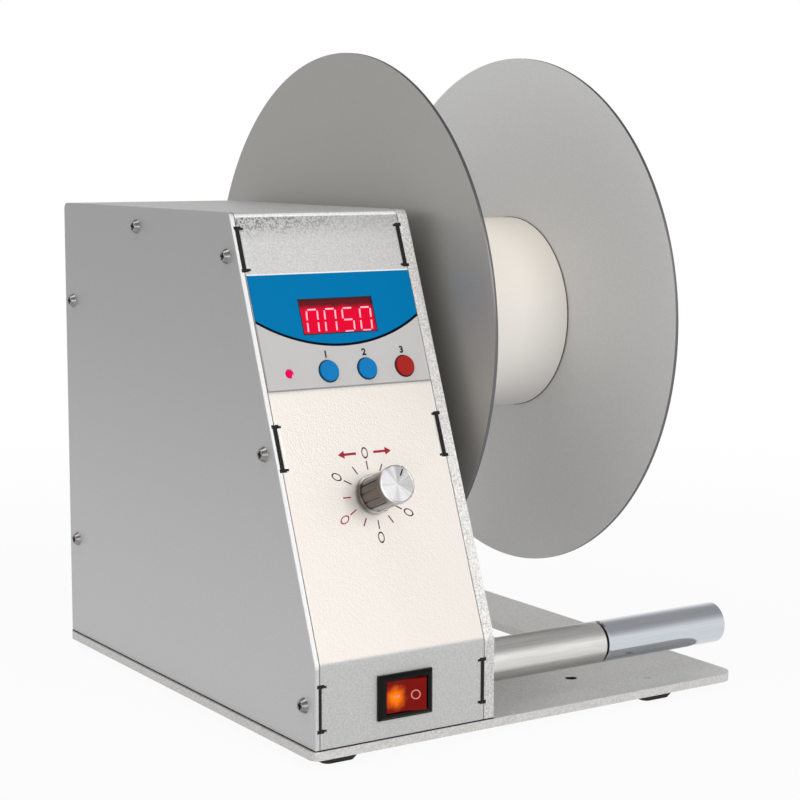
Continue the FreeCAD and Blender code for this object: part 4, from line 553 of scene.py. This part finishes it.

# Plain numbers over the three keys, and a dark ring round each key as painted shade of the gap round it
keyPrint = {"along": 95.9, "spots": (25.97, 41.03, 56.1), "numberUp": 4.8, "size": 3.2, "filmTop": 0.4,
            "ring": 3.7, "ringLine": 0.26, "ringHeight": 0.3, "bold": 0.15, "lift": 0.01, "extrude": 0.02}
rings = []
for i, x in enumerate(keyPrint["spots"]):
    clearSelection()
    bpy.ops.object.text_add(location=(x * mm, (keyPrint["along"] + keyPrint["numberUp"]) * mm,
                                      (keyPrint["filmTop"] + keyPrint["lift"]) * mm))
    number = bpy.context.object
    number.name = "keyNumber%d" % (i + 1)
    number.data.body = str(i + 1)
    number.data.align_x = "CENTER"
    number.data.size = keyPrint["size"] * mm
    number.data.extrude = keyPrint["extrude"] * mm
    number.data.offset = keyPrint["bold"] * mm
    bpy.ops.object.convert(target="MESH")
    settle(bpy.context.object, panelFrame, "housing", navyInkAndShade)
    clearSelection()
    bpy.ops.mesh.primitive_torus_add(major_radius=1, minor_radius=keyPrint["ringLine"] / keyPrint["ring"],
                                     major_segments=48, minor_segments=8)
    ring = bpy.context.object
    ring.scale = (keyPrint["ring"] * mm, keyPrint["ring"] * mm, keyPrint["ringHeight"] * mm)
    ring.location = (x * mm, keyPrint["along"] * mm, keyPrint["filmTop"] * mm)
    rings.append(ring)
settle(joinPieces(rings, "keyGapShades"), panelFrame, "housing", navyInkAndShade)

# Glowing seven segment digits, just above the lens
digits = {"lit": ("abcef", "abcef", "acdfg", "abcdef"), "first": 23.75, "pitch": 6.98, "middle": 113.45,
          "height": 8.1, "width": 4.2, "bar": 0.55, "gap": 0.95, "slant": 0.09, "thickness": 0.05,
          "pointed": 0.26, "colour": (236, 130, 150), "glow": (255, 176, 194), "strength": 0.7}


def segmentSpot(key):
    high, wide = digits["height"] / 2, digits["width"] / 2
    return {"a": (0, high, True), "b": (wide, high / 2, False), "c": (wide, -high / 2, False),
            "d": (0, -high, True), "e": (-wide, -high / 2, False), "f": (-wide, high / 2, False),
            "g": (0, 0, True)}[key]


lensTop = max((panelFrame.inverted() @ vertex.co).z for vertex in nodes["display_lens"].data.vertices) / mm
bars = []
for i, lit in enumerate(digits["lit"]):
    for key in lit:
        x, along, lying = segmentSpot(key)
        length = digits["width"] - digits["gap"] if lying else digits["height"] / 2 - digits["gap"]
        sizes = (length, digits["bar"]) if lying else (digits["bar"], length)
        bars.append(markPlate(digits["first"] + i * digits["pitch"] + x + digits["slant"] * along,
                             digits["middle"] + along, *sizes, turn=0 if lying else -digits["slant"],
                             base=lensTop, thickness=digits["thickness"],
                             taper=digits["pointed"]))


def hotFinish():
    material, tree, shader = startFinish("hotDigit", 0.0, 0.4)
    dressFinish(tree, shader, rgb(*digits["colour"]), {"roughness": 0.4, "grainTone": 0.1, "cloudTone": 0.2,
                                                   "cloudScale": 500.0})
    shader.inputs["Emission Color"].default_value = rgb(*digits["glow"])
    shader.inputs["Emission Strength"].default_value = digits["strength"]
    return material


settle(joinPieces(bars, "glowingDigits"), panelFrame, "housing", hotFinish())

# A dark line round the display
window = {"x": 33.75, "along": 115.0, "width": 28.8, "height": 12.15, "line": 0.45}
frameBars = []
for side in (-1, 1):
    frameBars.append(markPlate(window["x"] + side * window["width"] / 2, window["along"], window["line"],
                              window["height"] + window["line"], base=keyPrint["filmTop"]))
    frameBars.append(markPlate(window["x"], window["along"] + side * window["height"] / 2,
                              window["width"] + window["line"], window["line"], base=keyPrint["filmTop"]))
settle(joinPieces(frameBars, "displayEdge"), panelFrame, "housing", navyInkAndShade)

# Painted shadows in the slits beside the bent tabs, each slit with a relief cut across both ends, drawn as dark
# bars
slits = {"middles": (71.3, 139.4), "length": 14.8, "width": 1.6, "inset": 1.75, "rightInset": 4.8,
         "deep": -0.1, "thickness": 0.12, "tick": 2.6, "tickWidth": 1.2, "tickShift": 0.2,
         "tickThickness": 0.13}
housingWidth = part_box("side_plate")[1].x - left


def slitPair(along, width):
    # the painted shadows of the left and the right slit at one height
    bars = []
    for x in (slits["inset"], housingWidth / mm - slits["rightInset"]):
        bars.append(markPlate(x, along, width, slits["length"], base=slits["deep"],
                             thickness=slits["thickness"]))
        for end in (-1, 1):
            bars.append(markPlate(x + slits["tickShift"], along + end * slits["length"] / 2, slits["tick"],
                                 slits["tickWidth"], base=slits["deep"], thickness=slits["tickThickness"]))
    return bars


slitBars = [bar for along in slits["middles"] for bar in slitPair(along, slits["width"])]
paintedShadeDark = inkAndShadeFinish("paintedShadeDark", (16, 16, 18), 0.7)
settle(joinPieces(slitBars, "slitShadows"), panelFrame, "housing", paintedShadeDark)

# Painted shadows in the same slits on the lip, and painted shade along the seam where the housing stands on the
# base plate
lipFrame = Matrix(((1, 0, 0, left), (0, 0, -1, front), (0, 1, 0, deck), (0, 0, 0, 1)))
sideFrame = Matrix(((0, 0, -1, left), (-1, 0, 0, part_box("side_cover")[1].y), (0, 1, 0, deck), (0, 0, 0, 1)))
lipSlitShadows = {"middle": 13.8, "share": 0.7, "seamHigh": 0.2, "seamWidth": 0.4}
lipBars = slitPair(lipSlitShadows["middle"], lipSlitShadows["share"] * slits["width"])
settle(joinPieces(lipBars, "lipSlitShadows"), lipFrame, "housing", paintedShadeDark)
seamLong = (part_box("side_cover")[1].y - front) / mm
seam = markPlate(seamLong / 2, lipSlitShadows["seamHigh"], seamLong, lipSlitShadows["seamWidth"])
settle(seam, sideFrame, "housing", paintedShadeDark).name = "sideSeamShade"
seam = markPlate(housingWidth / mm / 2, lipSlitShadows["seamHigh"], housingWidth / mm, lipSlitShadows["seamWidth"])
settle(seam, lipFrame, "housing", paintedShadeDark).name = "frontSeamShade"

# Painted shade in the two bench holes, as dark walls
benchHoles = {"x": 32.2, "ys": (-78.1, 73.9), "radius": 2.2, "wall": 0.15, "sunk": 0.02, "half": 1.35,
              "under": 1.5}
for i, y in enumerate(benchHoles["ys"]):
    clearSelection()
    reach = benchHoles["radius"] - benchHoles["wall"] + benchHoles["sunk"]
    bpy.ops.mesh.primitive_torus_add(major_radius=1, minor_radius=benchHoles["wall"] / reach, major_segments=48,
                                     minor_segments=10)
    wall = bpy.context.object
    wall.scale = (reach * mm, reach * mm, benchHoles["half"] * reach / benchHoles["wall"] * mm)
    wall.location = (benchHoles["x"] * mm, y * mm, deck - benchHoles["under"] * mm)
    settle(wall, Matrix.Identity(4), "housing", paintedShadeDark).name = "benchHoleShade%d" % (i + 1)

# The marks on the rocker's two halves: where across, then width and length, or radius and line
rockerMarks = {"bar": (-3.8, 0.5, 2.4), "ring": (2.9, 1.45, 0.36), "ringHeight": 0.25}
rockerInk = inkAndShadeFinish("rockerInk", (226, 150, 134))


def onRocker(x):
    # the place on the rocker's face that a ray from in front of it meets
    start = Vector((rockerMiddle.x + x * mm, rockerLow.y - 20 * mm, rockerMiddle.z))
    _, spot, normal, _ = nodes["power_rocker"].ray_cast(start, Vector((0, 1, 0)))
    return Matrix.Translation(spot) @ normal.to_track_quat("Z", "Y").to_matrix().to_4x4()


x, width, length = rockerMarks["bar"]
settle(markPlate(0, 0, length, width), onRocker(x), "rocker", rockerInk).name = "rockerBar"
x, radius, line = rockerMarks["ring"]
clearSelection()
bpy.ops.mesh.primitive_torus_add(major_radius=1, minor_radius=line / radius / 2, major_segments=40,
                                 minor_segments=8)
bpy.context.object.scale = (radius * mm, radius * mm, rockerMarks["ringHeight"] * mm)
settle(bpy.context.object, onRocker(x), "rocker", rockerInk).name = "rockerRing"
print("panel prints made")

# The two flanges, turned discs with rims painted darker as shade
flangeLook = {"segments": 192, "rim": 0.3, "innerBore": 6.0, "outerBore": 6.1}
flangeRimShade = plainFinish("flangeRimShade", {"colour": (104, 104, 106), "metallic": 0.9, "roughness": 0.4,
                                        "grainTone": 0.1})


def turnedFlange(name, body, bore, finish):
    low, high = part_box(name)
    clearSelection()
    bpy.ops.mesh.primitive_cylinder_add(vertices=flangeLook["segments"], radius=(high.y - low.y) / 2,
                                        depth=high.x - low.x, location=(low + high) / 2,
                                        rotation=(0, math.pi / 2, 0))
    disc = bpy.context.object
    bpy.ops.object.transform_apply(location=True, rotation=True, scale=True)
    selectFaces(disc, lambda face: abs(face.normal.x) > 0.9)
    bpy.ops.mesh.bevel(offset=flangeLook["rim"] * mm, segments=2)
    bpy.ops.object.mode_set(mode="OBJECT")
    selectFaces(disc, lambda face: abs(face.normal.x) > 0.9 and len(face.vertices) > 8)
    bpy.ops.mesh.inset(thickness=(high.y - low.y) / 2 - bore * mm - flangeLook["rim"] * mm)
    bpy.ops.mesh.bridge_edge_loops()
    bpy.ops.mesh.select_all(action="SELECT")
    bpy.ops.mesh.normals_make_consistent(inside=False)
    bpy.ops.object.mode_set(mode="OBJECT")
    bpy.ops.object.shade_smooth_by_angle(angle=math.radians(30))
    disc.name = name + "Turned"
    disc.data.materials.append(finish)
    disc.data.materials.append(flangeRimShade)
    for face in disc.data.polygons:
        if abs(face.normal.x) < 0.9:
            face.material_index = 1
    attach(disc, body)
    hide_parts(name)


# the outer flange is the same metal as the inner one, painted paler and less metallic as painted light
paintedLightFlange = plainFinish("flangePaintedLight", dict(finishLooks["flange_silver"], colour=(224, 224, 223),
                                            metallic=0.2, roughness=0.55))
turnedFlange("inner_flange", "spindle", flangeLook["innerBore"], finishes["flange_silver"])
turnedFlange("outer_flange", "outer_flange_unit", flangeLook["outerBore"], paintedLightFlange)

# The drum ends just short of the outer flange, which leaves a seam; a dark ring there is its painted shadow
drumSeamShade = {"line": 0.22, "lean": 0.15}
drumLow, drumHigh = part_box("core_drum")
clearSelection()
bpy.ops.mesh.primitive_torus_add(major_radius=(drumHigh.y - drumLow.y) / 2, minor_radius=drumSeamShade["line"] * mm,
                                 major_segments=128, minor_segments=8, rotation=(0, math.pi / 2, 0),
                                 location=(drumHigh.x - drumSeamShade["lean"] * mm, spindleY, spindleZ))
seamShade = inkAndShadeFinish("seamShadow", (92, 78, 64), 0.8)
settle(bpy.context.object, Matrix.Identity(4), "spindle", seamShade).name = "drumSeamShade"
print("flanges turned")


# The knob: base ring, fluted body and a bright rim with a spun face
def knobRing(radius, low, high, segments, bevel):
    clearSelection()
    bpy.ops.mesh.primitive_cylinder_add(vertices=segments, radius=radius * mm, depth=(high - low) * mm,
                                        location=(knobLook["x"] * mm, knobLook["along"] * mm,
                                                  (low + high) / 2 * mm))
    ring = bpy.context.object
    selectFaces(ring, lambda face: abs(face.normal.z) > 0.9)
    bpy.ops.mesh.bevel(offset=bevel * mm, segments=5)
    bpy.ops.object.mode_set(mode="OBJECT")
    return ring


def buildKnob(look):
    base = knobRing(look["baseRadius"], look["baseFrom"], look["baseTo"], 72, 0.3)
    body = knobRing(look["bodyRadius"], look["baseTo"] - look["overlap"], look["rimFrom"] + look["overlap"],
                    look["flutes"] * look["facets"], 0.1)
    step = 2 * math.pi / look["flutes"]

    def inFlute(face):
        if abs(face.normal.z) > 0.3:
            return False
        turn = math.atan2(face.normal.y, face.normal.x) % step
        return turn < step / look["facets"]

    selectFaces(body, inFlute)
    bpy.ops.mesh.inset(thickness=0.05 * mm, use_individual=True)
    bpy.ops.transform.resize(value=(1, 1, look["fluteShare"]),
                             center_override=(look["x"] * mm, look["along"] * mm,
                                              (look["baseTo"] + look["rimFrom"]) / 2 * mm))
    bpy.ops.transform.shrink_fatten(value=-look["fluteDepth"] * mm)
    bpy.ops.object.mode_set(mode="OBJECT")
    rim = knobRing(look["rimRadius"], look["rimFrom"], look["faceAt"], 96, 0.35)
    selectFaces(rim, lambda face: face.normal.z > 0.9 and len(face.vertices) > 8)
    bpy.ops.mesh.inset(thickness=look["faceInset"] * mm)
    bpy.ops.transform.translate(value=(0, 0, -look["faceDrop"] * mm))
    bpy.ops.object.mode_set(mode="OBJECT")
    knob = joinPieces([base, body, rim], "speedKnobTurned")
    settle(knob, panelFrame, "speed_dial", finishes["knob_silver"])
    clearSelection()
    knob.select_set(True)
    bpy.context.view_layer.objects.active = knob
    bpy.ops.object.shade_smooth_by_angle(angle=math.radians(look["smooth"]))
    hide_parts("speed_knob")
    # the pointer notch on the face, drawn as a dark line of painted shade
    turn = math.radians(look["pointerTurn"])
    reach = look["pointerAt"]
    pointer = markPlate(look["x"] + reach * math.sin(turn), look["along"] + reach * math.cos(turn),
                       look["pointerWidth"], look["pointerLength"], -turn, base=look["faceAt"] - 0.14,
                       thickness=0.08, taper=0.2)
    pointer.name = "knobNotchShade"
    settle(pointer, panelFrame, "speed_dial", paintedShadeDark)


buildKnob(knobLook)
print("knob turned")


# Dark crosses in the screw heads of both sides, painted shade for their cross recesses
crosses = {"sunk": 0.05, "thickness": 0.12, "length": 2.5, "width": 0.66, "turn": 0.5, "near": 0.05,
           "apart": 6.0}


def headSpots(name, side):
    # the middle of each head: the vertices of its outermost face, taken together
    mesh = nodes[name].data
    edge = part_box(name)[0].x if side < 0 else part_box(name)[1].x
    spots = []
    for vertex in mesh.vertices:
        if abs(vertex.co.x - edge) < crosses["near"] * mm:
            for spot in spots:
                if (spot[0] / spot[1] - vertex.co).length < crosses["apart"] * mm:
                    spot[0] += vertex.co
                    spot[1] += 1
                    break
            else:
                spots.append([vertex.co.copy(), 1])
    return [total / count for total, count in spots]


def crossShade(name, side):
    arms = []
    for spot in headSpots(name, side):
        for turn in (crosses["turn"], crosses["turn"] + math.pi / 2):
            clearSelection()
            bpy.ops.mesh.primitive_cube_add(size=1, location=spot - Vector((side * crosses["sunk"] * mm, 0, 0)),
                                            rotation=(turn, 0, 0),
                                            scale=(crosses["thickness"] * mm, crosses["length"] * mm,
                                                   crosses["width"] * mm))
            arms.append(bpy.context.object)
    settle(joinPieces(arms, name + "Crosses"), Matrix.Identity(4), "housing", paintedShadeDark)


crossShade("side_cover_screws", -1)
crossShade("side_plate_screws", 1)

# Floor, light and camera
studio = {"floorSize": 6.0, "floorNear": 0.3, "floorRound": 0.93, "floorSoft": 0.3,
          "nearSpan": (0.06, 0.15), "farSpan": (0.15, 0.7), "worldSoft": 0.38, "zenith": 0.42,
          "ceilingSpan": (0.2, 0.75), "aimHeight": 0.12,
          "lamps": (("frontKey", (0.2, -1.6, 0.8), 0.8, 12.6, (1.0, 0.985, 0.965)),
                    ("leftFill", (-1.3, 0.75, 0.25), 0.6, 0.8, (0.98, 0.99, 1.0)),
                    ("lowFill", (-0.75, -1.2, 0.06), 0.5, 2.4, (1.0, 1.0, 1.0)),
                    ("topSoft", (-0.5, 0.1, 1.5), 0.9, 5.5, (1.0, 1.0, 1.0)))}


def cameraShare(tree):
    # 1 for what the camera sees, straight, mirrored or through something clear
    path = addNode(tree, "LightPath").outputs
    share = mathNode(tree, "MAXIMUM", path["Is Camera Ray"], path["Is Glossy Ray"])
    return mathNode(tree, "MAXIMUM", share, path["Is Transmission Ray"])


def buildFloor(look):
    clearSelection()
    bpy.ops.mesh.primitive_plane_add(size=look["floorSize"], location=(0, 0, 0))
    floor = bpy.context.object
    floor.name = "paleFloor"
    material, tree, shader = startFinish("paleFloor", 0.0, 0.9)
    shader.inputs["Base Color"].default_value = (0.8, 0.8, 0.8, 1)
    shader.inputs["Specular IOR Level"].default_value = 0.0
    spread = addNode(tree, "VectorMath", {0: objectPlace(tree, (1, 1, 0))}, operation="LENGTH").outputs["Value"]
    near = stepNode(tree, spread, *look["nearSpan"], look["floorNear"], look["floorRound"])
    near = mathNode(tree, "MAXIMUM", near, stepNode(tree, spread, *look["farSpan"], look["floorRound"], 1.0))
    share = mathNode(tree, "MULTIPLY", near, mathNode(tree, "MAXIMUM", cameraShare(tree), look["floorSoft"]))
    glow = addNode(tree, "Emission", {"Color": (1, 1, 1, 1), "Strength": 1.0}).outputs[0]
    mixed = addNode(tree, "MixShader", {0: share, 1: shader.outputs[0], 2: glow}).outputs[0]
    tree.links.new(mixed, tree.nodes["Material Output"].inputs["Surface"])
    floor.data.materials.append(material)


def buildWorld(look):
    world = bpy.data.worlds.new("studio")
    bpy.context.scene.world = world
    world.use_nodes = True
    tree = world.node_tree
    seen = tree.nodes["Background"]
    seen.inputs["Color"].default_value = (1, 1, 1, 1)
    # white at the horizon and for the camera, a darker ceiling for what metal mirrors
    up = addNode(tree, "SeparateXYZ", {0: addNode(tree, "TexCoord").outputs["Generated"]}).outputs[2]
    ceiling = stepNode(tree, up, *look["ceilingSpan"], 1.0, look["zenith"])
    straight = addNode(tree, "LightPath").outputs["Is Camera Ray"]
    tree.links.new(mathNode(tree, "MAXIMUM", ceiling, straight), seen.inputs["Strength"])
    soft = addNode(tree, "Background", {"Color": (1, 1, 1, 1), "Strength": look["worldSoft"]}).outputs[0]
    mixed = addNode(tree, "MixShader", {0: cameraShare(tree), 1: soft, 2: seen.outputs[0]}).outputs[0]
    tree.links.new(mixed, tree.nodes["World Output"].inputs["Surface"])


def buildLamps(look):
    for name, place, size, power, colour in look["lamps"]:
        clearSelection()
        bpy.ops.object.light_add(type="AREA", location=place)
        lamp = bpy.context.object
        lamp.name = name
        lamp.data.size = size
        lamp.data.energy = power
        lamp.data.color = colour
        aim = Vector((0, 0, look["aimHeight"])) - Vector(place)
        lamp.rotation_euler = aim.to_track_quat("-Z", "Y").to_euler()


view = {"azimuth": -33.16, "elevation": 7.36, "roll": 0.11, "lens": 87.85,
        "place": (-0.3075, -0.51946, 0.19138)}       # counted from the housing's front lower left corner


def buildCamera(look):
    azimuth, elevation, roll = (math.radians(look[key]) for key in ("azimuth", "elevation", "roll"))
    back = Vector((math.sin(azimuth) * math.cos(elevation), -math.cos(azimuth) * math.cos(elevation),
                   math.sin(elevation)))
    side = Vector((math.cos(azimuth), math.sin(azimuth), 0))
    up = back.cross(side)
    right = math.cos(roll) * side + math.sin(roll) * up
    top = -math.sin(roll) * side + math.cos(roll) * up
    bpy.ops.object.camera_add()
    camera = bpy.context.object
    turn = Matrix((right, top, back)).transposed().to_4x4()
    camera.matrix_world = Matrix.Translation(Vector((left, front, deck)) + Vector(look["place"])) @ turn
    camera.data.lens = look["lens"]
    camera.data.sensor_width = 36
    camera.data.clip_start = 0.01
    bpy.context.scene.camera = camera


buildFloor(studio)
buildWorld(studio)
buildLamps(studio)
buildCamera(view)
bpy.context.scene.view_settings.view_transform = "Standard"
print("studio set")
